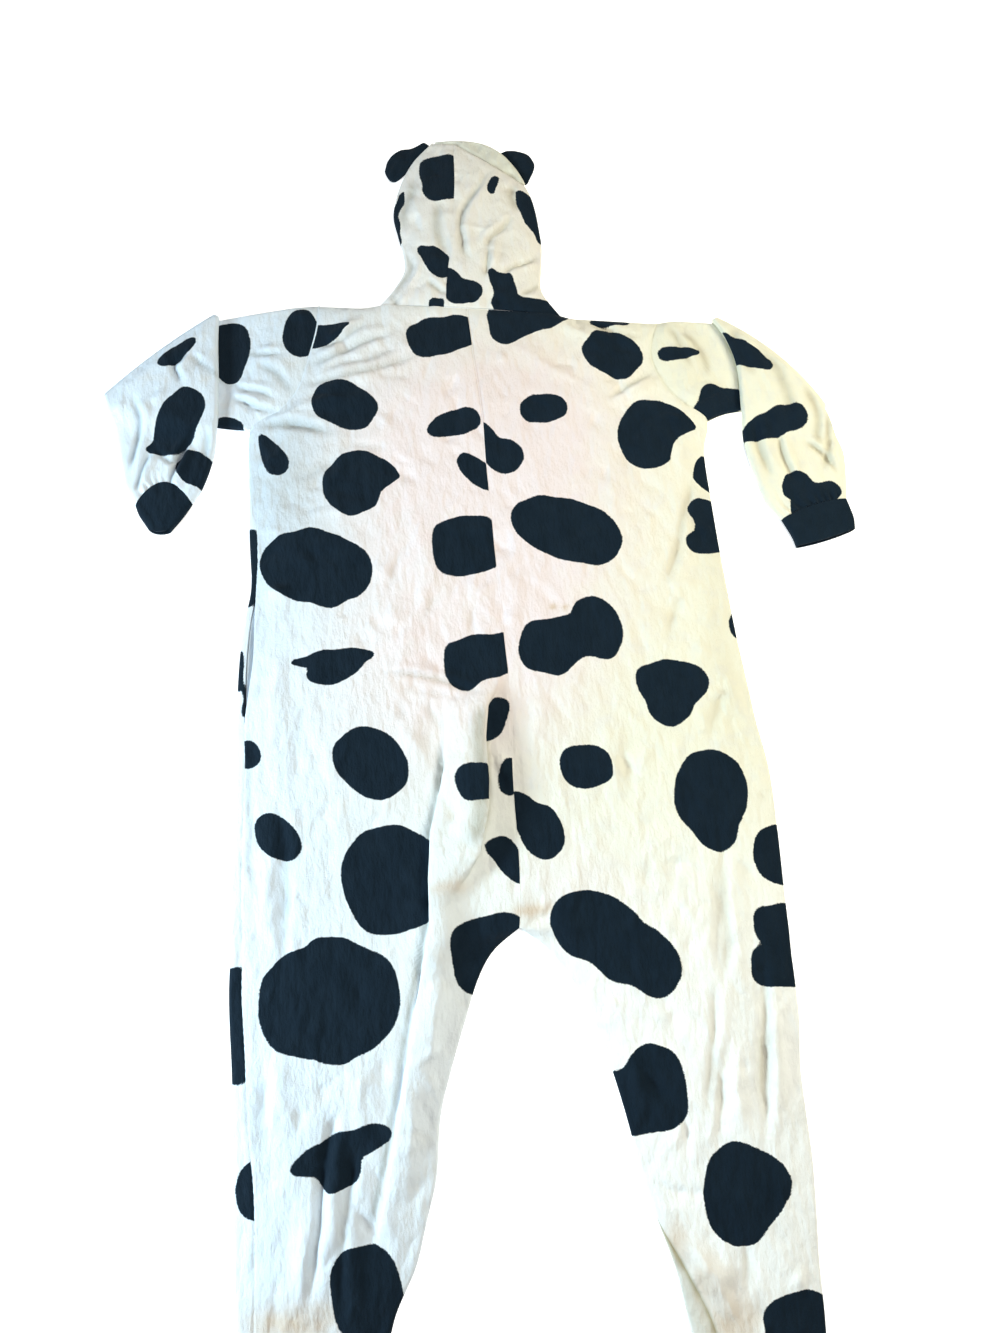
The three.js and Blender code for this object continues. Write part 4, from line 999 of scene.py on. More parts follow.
def front_panel(side):
    """Grid from the side seam, round the edge and under the garment to the centre front or,
    on a leg, round its inner edge to the inner seam."""
    rows = half_of(side, FRONT_STEP)
    start = np.where(rows.closed < 1, -rows.outer_roll * pi / 2 * (1 - rows.closed), 0)
    first = np.where(rows.closed < 1, start, seam_at(rows.wrap, rows.outer_roll))
    overlap = UNDERLAP * (1 - smooth(rows.t - OVERLAP_END))
    last = -rows.girth - np.where(rows.apart > 0.5, seam_at(rows.hem, rows.inner_roll), overlap)
    a, b = first - ROLL_COLUMNS[-1], last + ROLL_COLUMNS[-1]
    p = np.concatenate([first - ROLL_COLUMNS[:-1], a + (b - a) * np.linspace(0, 1, 40),
                        last + ROLL_COLUMNS[-2::-1]], axis=1)
    points = around(rows, p)
    x, y = points[..., 0], points[..., 1]
    own = PLACKET_LIFT if side == "right" else PLACKET_LIFT + PLACKET_OVER
    across = 1 - smooth((np.abs(x - rows.inner[:, :1]) - UNDERLAP - 1) / PLACKET_SPREAD)
    lift = own * across * (1 - smooth(rows.t - OVERLAP_END - 1)) * (p < 0)
    points[..., 2] += lift * (rows.apart < 0.5)
    under = smooth((-p - 14) / 25) * smooth((rows.girth + p - 38) / 25)
    points[..., 2] += under * np.clip(0.5 * crease_height(x + 40, y, wrinkles), 0, UNDER_RIDGE)
    guide = points.copy()
    shown = (p > rows.outer_roll * pi / 2) | (p < -rows.girth - rows.inner_roll * pi / 2)
    sewn = shown & ((rows.apart > 0.5) | (p > 0))
    points[..., 2] -= np.where(sewn, seam_dip(first - p) + seam_dip(p - last), 0)
    at_hem = (rows.apart > 0.5) * smooth((-p - rows.girth) / 4)
    # Painted shade greys the right leg's inner hem where it shows, darkest in a line along its seam
    panel = cloth_wall("front_panel_" + side, points, print_fleece, up=-1, guide=guide,
                       print=print_depth(x, y, FRONT_PATCHES, seed=8), stain=soft_spots(x, y, BACK_STAINS),
                       grime=at_hem * (0.6 + 0.8 * np.exp(-((p - last) / 4)**2)))
    replace_solid(panel, "front_" + side)
    return panel


front_left = front_panel("left")
front_right = front_panel("right")

# Pocket bag. A thin brushed knit bag hangs inside the left side seam, and shows where the seam's
# mouth gapes at the hip. Its pale blue-grey colour is painted shade.
# Painted shade: the bag's pale blue-grey
POCKET_PAINTED_SHADE = (0.62, 0.72, 0.80, 1)


def pocket_knit():
    """Thin ribbed knit of uneven pale blue-grey, which is painted shade."""
    material, tree, where = new_material("pocket_knit")
    ribs = add_node(tree, "TexWave", {"wave_type": "BANDS", "bands_direction": "X"},
                    {"Vector": where, "Scale": 260.0, "Distortion": 2.0})
    fade = noise(tree, where, 60.0)
    colour = blend_colour(tree, fade, POCKET_PAINTED_SHADE, (0.70, 0.78, 0.84, 1))
    bump = add_node(tree, "Bump", None, {"Strength": 0.3, "Distance": 0.0004, "Height": ribs + fade})
    finish_surface(tree, add_node(tree, "BsdfPrincipled", None, {
        "Base Color": colour, "Roughness": 0.9, "Normal": bump, "Sheen Weight": 0.2}))
    return material


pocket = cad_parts["pocket_left"]
pocket.data.materials.clear()
pocket.data.materials.append(pocket_knit())

# Sleeves. Each is one flattened tube of fleece sewn into the armhole. It is turned back over a
# slanted fold, so that the forearm lies on the upper arm, and it is gathered into its cuff.
SLEEVE_HEIGHT = 10
FOLD_CLEARANCE = 1
FOREARM_DROP = 46
SLEEVE_PUFF = 4.5
SLEEVE_STEP = 4.0
SLEEVE_COLUMNS = 54
GATHERS = 8.5
# Painted shade over the whole of each sleeve: none on the left, a little on the right
SLEEVE_SHADE_PAINTED = {"left": 0, "right": 0.13}
RING_TURN = np.linspace(pi / 2, -pi / 2, 9)[1:-1]

# Sleeve stations: shoulder edge, underarm edge, height and bow
LEFT_UPPER = np.array([
    [-228, 950, -333, 740, 12, 0],
    [-278, 946, -386, 750, 11, 0],
    [-328, 941, -460, 775, 10, 0],
    [-378, 934, -545, 804, 10, 6],
], float)
LEFT_FOREARM = np.array([
    [-378, 934, -545, 804, 10, 6],
    [-379, 886, -541, 780, 10, 3],
    [-378, 820, -532, 752, 11, 0],
    [-379, 756, -523, 706, 11, 0],
    [-387, 702, -516, 668, 12, 10],
    [-403, 652, -508, 644, 12, 24],
    [-418, 627, -500, 630, 12, 34],
], float)
RIGHT_UPPER = np.array([
    [289, 876, 341, 701, 12, 0],
    [316, 875, 378, 712, 11, 0],
    [344, 872, 440, 712, 10, 4],
    [371, 867, 513, 700, 10, 16],
], float)
RIGHT_FOREARM = np.array([
    [371, 867, 513, 700, 10, 16],
    [387, 832, 519, 684, 10, 12],
    [396, 780, 526, 660, 11, 6],
    [392, 718, 533, 634, 11, 0],
    [390, 666, 532, 612, 12, 0],
    [397, 606, 529, 588, 12, 0],
    [408, 558, 526, 570, 12, 0],
    [425, 533, 524, 557, 12, 6],
], float)

# Folds: the places of the line, half width and height
SLEEVE_FOLDS = [
    ([(-507, 812), (-498, 785), (-492, 765), (-497, 740), (-501, 721), (-506, 700), (-511, 676)], 5, 6),
    ([(-424, 876), (-434, 858), (-443, 849), (-438, 834), (-428, 812)], 4.5, 6),
    ([(-420, 866), (-394, 842), (-362, 814)], 4, 3.5),
    ([(-474, 720), (-460, 704), (-446, 694), (-432, 708), (-420, 726), (-402, 756)], 4, 4),
    ([(-424, 724), (-436, 696), (-446, 672), (-453, 642)], 4, 7),
    ([(-476, 716), (-490, 684), (-498, 650)], 4, 5),
    ([(-392, 742), (-398, 700), (-404, 660)], 5, 4),
    ([(-366, 822), (-340, 806), (-318, 800), (-294, 786)], 4, 4.5),
    ([(-364, 796), (-340, 784), (-315, 770), (-282, 763)], 4, 5),
    ([(-350, 872), (-320, 866), (-280, 863)], 4, 4),
    ([(-322, 850), (-300, 836), (-280, 812), (-270, 788)], 6, 3.5),
    ([(302, 868), (318, 830), (326, 780)], 5, 3.5),
    ([(318, 854), (338, 836), (352, 800), (350, 768)], 5, 3.5),
    ([(328, 728), (352, 742), (378, 752)], 4, 4),
    ([(398, 852), (402, 806), (420, 760)], 7, 2.6),
    ([(426, 816), (452, 770), (462, 712), (452, 664)], 8, 2.2),
    ([(486, 742), (500, 690), (494, 640)], 6, 2.8),
    ([(516, 694), (512, 650), (496, 600)], 5, 4.5),
    ([(410, 694), (408, 650), (420, 596)], 5, 4),
    ([(440, 666), (440, 630), (452, 586)], 4, 5),
    ([(476, 652), (498, 630), (518, 596)], 4, 5),
]

LEFT_UPPER_PATCHES = [
    (-254, 898, 43, 28, 88),
    (-364, 872, 54, 30, -86, 2.5, -0.3),
    (-366, 747, 24, 15, -24),
]
LEFT_FOREARM_PATCHES = [
    (-438, 871, 34, 13, 37, 2.2, -0.1),
    (-434, 758, 53, 31, 66, 2.3),
    (-460, 718, 24, 14, 10, 2, 0.3),
    (-411, 679, 32, 25, -40, 2.3),
    (-393, 652, 20, 11, -75, 2),
]
RIGHT_UPPER_PATCHES = [
    (313, 815, 33, 11, 4, 2.6, -0.35, 0.15),
    (360, 727, 30, 24, 20),
    (353, 744, 17, 16, 0, 2),
    (338, 715, 20, 13, 20, 2),
    (384, 732, 20, 16, 90, 3),
]
RIGHT_FOREARM_PATCHES = [
    (404, 808, 54, 15, -42),
    (414, 788, 30, 12, -20, 2),
    (434, 681, 51, 21, 17, 2.6, 0.2, -0.1),
    (455, 580, 24, 21, -20),
    (488, 566, 28, 17, 10),
    (466, 548, 28, 22, 10, 2.4),
]


def ring(shares):
    """Columns of a flattened tube: over the top from edge a to edge b, round b, back along the
    bottom and round a. Each has its share across, its level from 1 to -1 and its turn."""
    none = np.full(len(shares), np.nan)
    turns = np.concatenate([none, RING_TURN, none, RING_TURN[::-1]])
    share = np.concatenate([shares, np.ones(len(RING_TURN)), shares[::-1], np.zeros(len(RING_TURN))])
    level = np.concatenate([0 * shares + 1, np.sin(RING_TURN), 0 * shares - 1, np.sin(RING_TURN[::-1])])
    return share[None], level[None], turns[None]


def tube_points(a, b, half, bow, out, normal, middle, columns):
    """Points of a flattened tube: rows of ends a and b, half height, bow towards out, the
    normal of each ring's flat sides, and a function for the height of its middle."""
    share, level, turns = columns
    length = np.hypot(*(b - a).T)[:, None]
    direction = (b - a)[:, None, :] / length[..., None]
    along = half + share * (length - 2 * half)
    reach = half * np.cos(np.nan_to_num(turns))
    along = np.where(np.isnan(turns), along, np.where(share > 0.5, length - half + reach, half - reach))
    part = along / length
    bowed = bow * 4 * part * (1 - part)
    plan = a[:, None, :] + direction * along[..., None] + out[:, None, :] * bowed[..., None]
    height = middle(plan[..., 0], plan[..., 1])
    points = np.concatenate([plan, height[..., None]], axis=-1)
    return points + normal[:, None, :] * (half * level)[..., None], part


def away(rows, sign):
    """Unit vectors in the plan square to each row's line from a to b."""
    line = pair(rows, 1) - pair(rows, 0)
    return sign * np.stack([line[:, 1], -line[:, 0]], axis=1) / np.hypot(*line.T)[:, None]


def armhole_rows(side, count):
    """Armhole of the body at even distances: places in the plan and the back's edge height."""
    outer = 0 if side == "left" else 2
    t = np.linspace(0, UNDERARM, 400)
    path = pair(read(BODY, t), outer)
    reach = np.concatenate([[0], np.cumsum(np.hypot(*np.diff(path, axis=0).T))])
    rows = read(BODY, np.interp(np.linspace(0, reach[-1], count), reach, t))
    below = np.hypot(*(pair(rows, outer) - pair(BODY[:1], outer)).T)
    edge = rows[:, 6] + (SHOULDER_HEIGHT - rows[:, 6]) * np.exp(-below / SHOULDER_SLOPE)
    return pair(rows, outer), edge


def sleeve_tube(side, upper, forearm, columns):
    """Tube from the armhole to the fold (stage 0), a half turn about the fold (stage 1) and on
    to the cuff (stage 2). The forearm lies on the upper arm, and comes down beside it."""
    sign = 1 if side == "left" else -1
    fold, under = upper[-1], upper[1]
    fold_out = away(fold[None], sign)[0]
    radius = (SLEEVE_HEIGHT + FOLD_CLEARANCE) / 2
    ex, ey = fold[2:4] - under[2:4]

    def laid(x, y):
        beyond = sign * ((x - under[2]) * ey - (y - under[3]) * ex) / hypot(ex, ey)
        return 2 * radius * (1 - smooth((-beyond - 3) / FOREARM_DROP))

    upper_t = even_rows(paths_of(upper, 0, 1), SLEEVE_STEP, len(upper) - 1)
    lower_t = even_rows(paths_of(forearm, 0, 1), SLEEVE_STEP, len(forearm) - 1)
    up, low = read(upper, upper_t), read(forearm, lower_t)
    psi = np.linspace(0, pi, 11)[1:-1]
    many = len(psi)
    turned = (radius * np.sin(psi))[:, None] * fold_out
    a, b = (np.concatenate([pair(up, k), pair(fold[None], k) + turned, pair(low, k)]) for k in (0, 1))
    half = np.concatenate([up[:, 4], np.full(many, SLEEVE_HEIGHT), low[:, 4]])[:, None] / 2
    bow = np.concatenate([up[:, 5], np.full(many, fold[5]), low[:, 5]])[:, None]
    out = np.concatenate([away(up, sign), np.tile(fold_out, (many, 1)), away(low, sign)])
    over_fold = np.stack([-fold_out[0] * np.sin(psi), -fold_out[1] * np.sin(psi), np.cos(psi)], axis=1)
    normal = np.concatenate([np.tile([0.0, 0, 1], (len(up), 1)), over_fold,
                             np.tile([0.0, 0, -1], (len(low), 1))])
    stage = np.concatenate([np.zeros(len(up)), np.ones(many), np.full(len(low), 2)])[:, None]
    curve = np.concatenate([np.zeros(len(up)), radius * (1 - np.cos(psi)), np.zeros(len(low))])[:, None]

    def middle(x, y):
        folded = SLEEVE_HEIGHT / 2 + curve
        return np.where(stage == 0, half, np.where(stage == 1, folded, laid(x, y) + half))

    points, part = tube_points(a, b, half, bow, out, normal, middle, columns)
    share, level, _ = columns
    seam, edge = armhole_rows(side, SLEEVE_COLUMNS)
    pick = np.round(share[0] * (SLEEVE_COLUMNS - 1)).astype(int)
    rim = np.concatenate([seam[pick], (edge[pick] * (1 + level[0]) / 2)[:, None]], axis=1)
    fade = (1 - smooth(upper_t / 0.9))[:, None, None]
    points[:len(up)] += (rim - points[0])[None] * fade
    t = np.concatenate([upper_t, np.full(many, np.nan), lower_t])[:, None]
    return points, part, stage, t, rim


def sleeve(side, upper, forearm, upper_patches, forearm_patches):
    """The tube, whose sides that show are rounded, creased and gathered towards the cuff."""
    columns = ring(np.linspace(0, 1, SLEEVE_COLUMNS))
    level = columns[1]
    points, part, stage, t, rim = sleeve_tube(side, upper, forearm, columns)
    x, y = points[..., 0], points[..., 1]
    shows = np.maximum(np.where(stage == 2, -level, level), 0) * (stage != 1)
    soft = np.sin(pi * np.clip(part, 0, 1))**0.6
    edge_fade = smooth(part * 7) * smooth((1 - part) * 7)
    near_seam = np.where(stage == 0, smooth(t / 0.5), 1.0)
    covered = np.where(stage == 0, 1 - smooth((t - 0.6) / 0.7), 1.0)
    gather = np.where(stage == 2, smooth((t - len(forearm) + 2.7) / 1.5), 0)
    full = np.where(stage == 2, smooth(t / 0.6) * (1 - 0.5 * gather), covered * near_seam)
    creases, grime = fold_lines(x, y, SLEEVE_FOLDS)
    folds = creases + crease_height(x, y, sleeve_wrinkles)
    folds = folds * edge_fade * np.where(stage == 2, smooth(t / 0.5), covered * near_seam)
    waves = 1.5 * np.sin(2 * pi * GATHERS * part + 2.2 * np.sin(9 * part)) * gather * edge_fade
    points[..., 2] += shows * np.nan_to_num(SLEEVE_PUFF * soft * full + folds + waves)
    guide = points.copy()
    armhole = np.where(stage == 0, np.hypot(x - rim[:, 0], y - rim[:, 1]), 99)
    cuff_seam = np.where(stage == 2, np.hypot(x - x[-1:], y - y[-1:]), 99)
    points[..., 2] -= (1.8 * seam_dip(armhole / 1.6) + seam_dip(cuff_seam)) * shows

    on_forearm = ((stage == 2) & (level < 0.3)) | (stage == 1)
    on_upper = (stage == 0) & (level > -0.3)
    hidden = print_depth(x + 60, y + 45, forearm_patches + upper_patches, seed=9)
    depth = np.where(on_upper, print_depth(x, y, upper_patches, seed=6), hidden)
    depth = np.where(on_forearm, print_depth(x, y, forearm_patches, seed=5), depth)
    # Painted shade darkens the troughs of the folds where the sides show, and the right sleeve all over
    piece = cloth_wall("sleeve_cloth_" + side, points, print_fleece, up=0, wrapped=True, guide=guide,
                       print=depth, stain=0.04 + 0 * depth, grime=0.7 * grime * shows + SLEEVE_SHADE_PAINTED[side])
    replace_solid(piece, "sleeve_" + side)
    return piece


sleeve_wrinkles = scattered_wrinkles(240, 21, (-560, 520, 560, 950), 0.8, (20, 76), (0.12, 0.50))
sleeve_left = sleeve("left", LEFT_UPPER, LEFT_FOREARM, LEFT_UPPER_PATCHES, LEFT_FOREARM_PATCHES)
sleeve_right = sleeve("right", RIGHT_UPPER, RIGHT_FOREARM, RIGHT_UPPER_PATCHES, RIGHT_FOREARM_PATCHES)

# Cuffs. Short tubes of black fleece with elastic inside gather the sleeves and the ankles.
LEFT_CUFF = np.array([
    [-418, 627, -500, 630, 12, 34],
    [-427, 613, -495, 616, 12, 22],
    [-437, 600, -488, 604, 12, 8],
    [-448, 588, -480, 591, 11, -4],
], float)
RIGHT_CUFF = np.array([
    [425, 533, 524, 557, 12, 6],
    [431, 518, 527, 541, 12, 4],
    [436, 504, 529, 527, 12, 1],
    [439, 490, 528, 511, 11, -3],
], float)
LEFT_ANKLE = np.array([
    [-346, -560.2, -212, -560.2, 13, 0],
    [-338, -574, -222, -574, 15, 0],
    [-334, -600, -228, -600, 16, 0],
    [-333, -622, -230, -622, 16, 0],
], float)
RIGHT_ANKLE = np.array([
    [172, -565.2, 298, -565.2, 13, 0],
    [182, -579, 290, -579, 15, 0],
    [187, -604, 286, -604, 16, 0],
    [188, -622, 285, -622, 16, 0],
], float)
CUFF_STEP = 2.5


def cuff(name, node, table, sign, lies, gathers):
    """Gathered tube: its walls wave across the ring, most at the seam."""
    t = even_rows(paths_of(table, 0, 1), CUFF_STEP, len(table) - 1)
    rows = read(table, t)
    columns = ring(np.linspace(0, 1, 40))
    half = rows[:, 4:5] / 2
    normal = np.tile([0.0, 0, float(lies)], (len(t), 1))
    points, part = tube_points(pair(rows, 0), pair(rows, 1), half, rows[:, 5:6], away(rows, sign), normal,
                               lambda x, y: half + 0 * x, columns)
    top = np.maximum(columns[1] * lies, 0)
    t = t[:, None]
    wave = np.sin(2 * pi * gathers * part + 2.5 * np.sin(5 * part + t) + 1.7 * t)
    fade = smooth(part * 8) * smooth((1 - part) * 8)
    points[..., 2] += top * fade * (0.8 * wave * (1 - 0.2 * t) + 1.6 * np.sin(pi * part))
    guide = points.copy()
    points[..., 2] -= top * (seam_dip(t * 14) + 0.7 * seam_dip((t - 2.62) * 12))
    piece = cloth_wall(name, points, black_fleece, up=0, wrapped=True, guide=guide)
    replace_solid(piece, node)


cuff("cuff_left", "wrist_cuff_left", LEFT_CUFF, 1, -1, 2)
cuff("cuff_right", "wrist_cuff_right", RIGHT_CUFF, -1, -1, 3)
cuff("ankle_left", "ankle_cuff_left", LEFT_ANKLE, 1, 1, 8)
cuff("ankle_right", "ankle_cuff_right", RIGHT_ANKLE, 1, 1, 8)

# Hood. Two halves of fleece are sewn along the middle and to the neck, and each turns under at
# its edge to the face opening.
HOOD_ROLL = 5
HOOD_RISE_LENGTH = 30
HOOD_STEP = 3.6

# Hood stations from the neck to the crown: left edge, seam, right edge, cloth turned under,
# height of the middle over the edge, bow of the right half
HOOD = np.array([
    [-135, 938.6, -31, 925.0, 143, 899.4, 70, 8, 0],
    [-108, 972, -29, 955, 119, 945, 66, 9, 0],
    [-92, 1003, -24, 990, 121, 985, 60, 10, 0],
    [-93, 1035, -17, 1030, 126, 1025, 58, 10, 0],
    [-99, 1070, -12, 1070, 125, 1060, 56, 10, 0],
    [-104, 1107, -7, 1112, 123, 1092, 54, 10, 0],
    [-97, 1145, -3, 1150, 120, 1116, 46, 9, 2],
    [-84, 1180, -1, 1185, 117, 1130, 32, 7, 4],
    [-66, 1212, 0, 1214, 114, 1139, 14, 5, 6],
    [-36, 1245, 2, 1236, 111, 1146, 1, 3, 9],
], float)
# Folds: the places of the line, half width and height
HOOD_FOLDS = [
    ([(57, 1184), (35, 1146), (11, 1109), (1, 1080), (0, 1046), (4, 1020), (16, 1002)], 5, 5.5),
    ([(38, 1022), (46, 1044), (68, 1064), (88, 1088)], 4, 4.5),
    ([(41, 1034), (38, 1000), (32, 970)], 4, 4),
    ([(124, 1008), (100, 998), (77, 989), (54, 970)], 4, 5),
    ([(118, 958), (104, 948), (86, 938)], 4, 4),
    ([(-96, 1052), (-86, 1020), (-81, 1003), (-92, 984), (-104, 968), (-120, 946)], 5, 4.5),
    ([(-116, 964), (-108, 940), (-103, 914)], 4, 4),
    ([(-26, 1126), (-36, 1090), (-34, 1050), (-24, 1020)], 8, 2),
    ([(-70, 1176), (-74, 1140), (-88, 1104), (-84, 1070)], 8, 1.8),
    ([(92, 1150), (86, 1124), (98, 1090)], 7, 1.8),
    ([(-60, 978), (-44, 960), (-28, 946)], 4, 3.5),
]
HOOD_LEFT_PATCHES = [
    (-24, 1168, 47, 33, -88, 3.4, -0.1),
    (-94, 1124, 26, 7, 66, 2),
    (-100, 1080, 30, 7, 95, 2),
    (-40, 1006, 32, 19, -62, 2.6),
    (-58, 1028, 14, 7, -40, 2, -0.4),
    (-46, 929, 12, 12, 0, 3),
]
HOOD_RIGHT_PATCHES = [
    (60, 1146, 20, 10, 74, 2),
    (73, 1142, 30, 9, 74, 4, 0, 0, 0),
    (112, 1094, 42, 16, -72),
    (122, 1054, 22, 6, -78, 2),
    (-3, 947, 30, 22, 4, 2.1),
    (-17, 973, 22, 11, -65),
    (60, 948, 29, 19, -84, 2.8),
    (45, 973, 14, 7, -62, 2),
    (95, 905, 52, 27, -6, 2.4),
    (64, 922, 24, 14, -8, 2.4),
]


def hood_width(side, rows):
    """Width of one half of the hood, and its direction from the outer edge to the seam."""
    inward = pair(rows, 1) - pair(rows, 0 if side == "left" else 2)
    width = np.hypot(*inward.T)[:, None]
    return width, inward / width


def hood_plan(side, rows, along):
    """Places in the plan at distances from the outer edge of one half. The right one is bowed."""
    outer = pair(rows, 0 if side == "left" else 2)
    width, direction = hood_width(side, rows)
    part = along / width
    bow = rows[:, 8:9] * 4 * part * (1 - part) * (side == "right")
    return (outer[:, :1] + direction[:, :1] * along - direction[:, 1:] * bow,
            outer[:, 1:] + direction[:, 1:] * along - direction[:, :1] * bow)


def turned_edge(q):
    """Edge that turns under in a half circle, for distances q along the cloth from its outermost
    line, below it where negative: whether a place is on it, its distance inwards and height."""
    far, quarter = np.abs(q), HOOD_ROLL * pi / 2
    angle = np.minimum(far / HOOD_ROLL, pi / 2)
    turning = far < quarter
    inward = np.where(turning, HOOD_ROLL * (1 - np.cos(angle)), far - quarter + HOOD_ROLL)
    return turning, inward, HOOD_ROLL * (1 + np.sign(q) * np.sin(angle))


def hood_half(side, patches):
    """Grid from the middle seam over the top, round the edge and under to the face opening."""
    t = even_rows(paths_of(HOOD, 1), HOOD_STEP, len(HOOD) - 1)
    rows = read(HOOD, t)
    t = t[:, None]
    quarter = HOOD_ROLL * pi / 2
    full = hood_width(side, rows)[0] - HOOD_ROLL + quarter
    turn = np.linspace(1, -1, 15)[1:-1] * quarter
    lip = np.maximum(rows[:, 6:7], 1)
    q = np.concatenate([full + (quarter - full) * np.linspace(0, 1, 34), np.tile(turn, (len(t), 1)),
                        -quarter - np.maximum(lip - quarter, 0.1) * np.linspace(0, 1, 16)], axis=1)
    turning, along, height = turned_edge(q)
    x, y = hood_plan(side, rows, along)
    inside = np.maximum(along - HOOD_ROLL, 0)
    creases, grime = fold_lines(x, y, HOOD_FOLDS)
    folds = (creases + crease_height(x, y, hood_wrinkles)) * smooth(inside / 18)
    ends = smooth(t * 1.2) * smooth((len(HOOD) - 1 - t) * 1.6)
    over = 2 * HOOD_ROLL + rows[:, 7:8] * (1 - np.exp(-inside / HOOD_RISE_LENGTH)) + folds * ends
    guide = np.stack([x, y, np.where(turning, height, np.where(q > 0, over, 0))], axis=-1)
    top = q > quarter
    neck = np.hypot(x - x[:1], y - y[:1])
    crown = np.hypot(x - x[-1:], y - y[-1:])
    sewn = seam_dip(full - q) + 2.2 * seam_dip(neck / 2.4) + 2 * seam_dip(crown / 2)
    bunched = wobble(x * 1.9, y * 0.8, 16) * np.exp(-(neck / 26)**2) * smooth(neck / 9) * smooth(inside / 18)
    pucker = wobble(y * 2.4, 0 * y, 15) * np.exp(-((full - q) / 9)**2)
    points = guide.copy()
    points[..., 2] += np.where(top, 2.2 * bunched + 0.6 * pucker - sewn, 0)
    depth = print_depth(x, y, patches, seed=12)
    depth = np.where(q < -quarter, print_depth(x + 30, y - 40, patches, seed=13), depth)
    # Painted shade darkens the troughs of the folds on top
    piece = cloth_wall("hood_cloth_" + side, points, print_fleece, guide=guide, print=depth,
                       stain=0.02 + 0 * depth, blush=0.3 + 0 * depth, grime=0.75 * grime * top)
    replace_solid(piece, "hood_" + side)
    return piece


hood_wrinkles = scattered_wrinkles(90, 33, (-110, 920, 130, 1230), 0.8, (18, 56), (0.10, 0.42))
hood_left = hood_half("left", HOOD_LEFT_PATCHES)
hood_right = hood_half("right", HOOD_RIGHT_PATCHES)

# Rim of the hood. A folded strip of the same fleece is sewn along the crown, and lies from its
# seam over the edge.
RIM_GAP = 0.3
RIM_STEP = 2.4
RIM_RISE = 0.12

# Rim stations: outline, direction across the strip, cloth below the edge
RIM = np.array([
    [-29, 1248.2, 0.15, -0.98, 1.5],
    [-8, 1249, 0.1, -0.99, 10],
    [15, 1247.5, -0.05, -1, 16],
    [40, 1242, -0.2, -0.98, 20],
    [62, 1231, -0.45, -0.89, 22],
    [82, 1212, -0.7, -0.71, 20],
    [98, 1186, -0.86, -0.5, 16],
    [107, 1166, -0.93, -0.36, 9],
    [110.8, 1154, -0.95, -0.3, 1.5],
], float)


def crown_line(side):
    """End of one half of the hood at the crown, from its edge to the seam."""
    along = np.linspace(HOOD_ROLL, hood_width(side, HOOD[-1:])[0][0, 0], 24)
    return np.concatenate(hood_plan(side, HOOD[-1:], along)).T


def hood_rim():
    """Grid across the strip: from its seam over the edge of the crown and under it. Its width
    on top is where its direction first meets the ends of the two halves."""
    t = even_rows(paths_of(RIM, 0), RIM_STEP, len(RIM) - 1)
    rows = read(RIM, t)
    direction = pair(rows, 1) / np.hypot(*pair(rows, 1).T)[:, None]
    line = np.concatenate([crown_line("left"), crown_line("right")[::-1]])
    start, edge = line[:-1], np.diff(line, axis=0)
    dx, dy = direction[:, :1], direction[:, 1:]
    cross = dx * edge[:, 1] - dy * edge[:, 0]
    cross = np.where(cross == 0, 1e-12, cross)
    gap_x, gap_y = start[:, 0] - rows[:, :1], start[:, 1] - rows[:, 1:2]
    along = (gap_x * edge[:, 1] - gap_y * edge[:, 0]) / cross
    place = (gap_x * dy - gap_y * dx) / cross
    meets = (place >= -0.02) & (place <= 1.02) & (along > 0)
    width = np.min(np.where(meets, along, 60), axis=1)[:, None] - RIM_GAP
    width = np.where(width > 50, 1.5, width)
    top = seam_at(np.maximum(width, 1.5), HOOD_ROLL)
    low = -seam_at(rows[:, 4:5], HOOD_ROLL)
    q = top + (low - top) * np.linspace(0, 1, 26)
    turning, inward, height = turned_edge(q)
    over = 2 * HOOD_ROLL + RIM_RISE * (inward - HOOD_ROLL)
    x, y = rows[:, :1] + dx * inward, rows[:, 1:2] + dy * inward
    guide = np.stack([x, y, np.where(turning, height, np.where(q < 0, 0, over))], axis=-1)
    points = guide.copy()
    uneven = 1.1 * wobble(x * 1.6, y * 1.6, 17) - 2 * seam_dip((top - q) / 2)
    points[..., 2] += np.where(q > HOOD_ROLL * pi / 2, uneven, 0)
    # Painted shade greys the whole strip a little, most along its seam
    piece = cloth_wall("hood_strip", points, print_fleece, guide=guide,
                       print=np.full(q.shape, NO_PRINT), grime=0.2 + 0.5 * np.exp(-((top - q) / 4)**2))
    replace_solid(piece, "hood_rim")


hood_rim()

# Ears. Two layers of black fleece, turned right side out and pressed nearly flat, with their
# open end caught in the seam of the crown.
LEFT_EAR = np.array([
    [-75, 1201, -37.5, 1246.5, 0],
    [-82, 1190, -47, 1252, 0],
    [-90, 1182, -58, 1246, 0],
    [-98, 1177, -70, 1241, 0],
    [-106, 1180, -86, 1240, 0],
    [-112, 1192, -100, 1231, 0],
    [-114, 1202, -110, 1218, 0],
], float)
RIGHT_EAR = np.array([
    [74.4, 1221.8, 112, 1155.2, 3.6],
    [86, 1224, 116, 1158, 2],
    [99, 1223, 120, 1166, 1],
    [111, 1219, 125, 1176, 0],
    [120, 1214, 129, 1187, 0],
    [126, 1207, 130, 1197, 0],
], float)
EAR_HEIGHT = 7.5


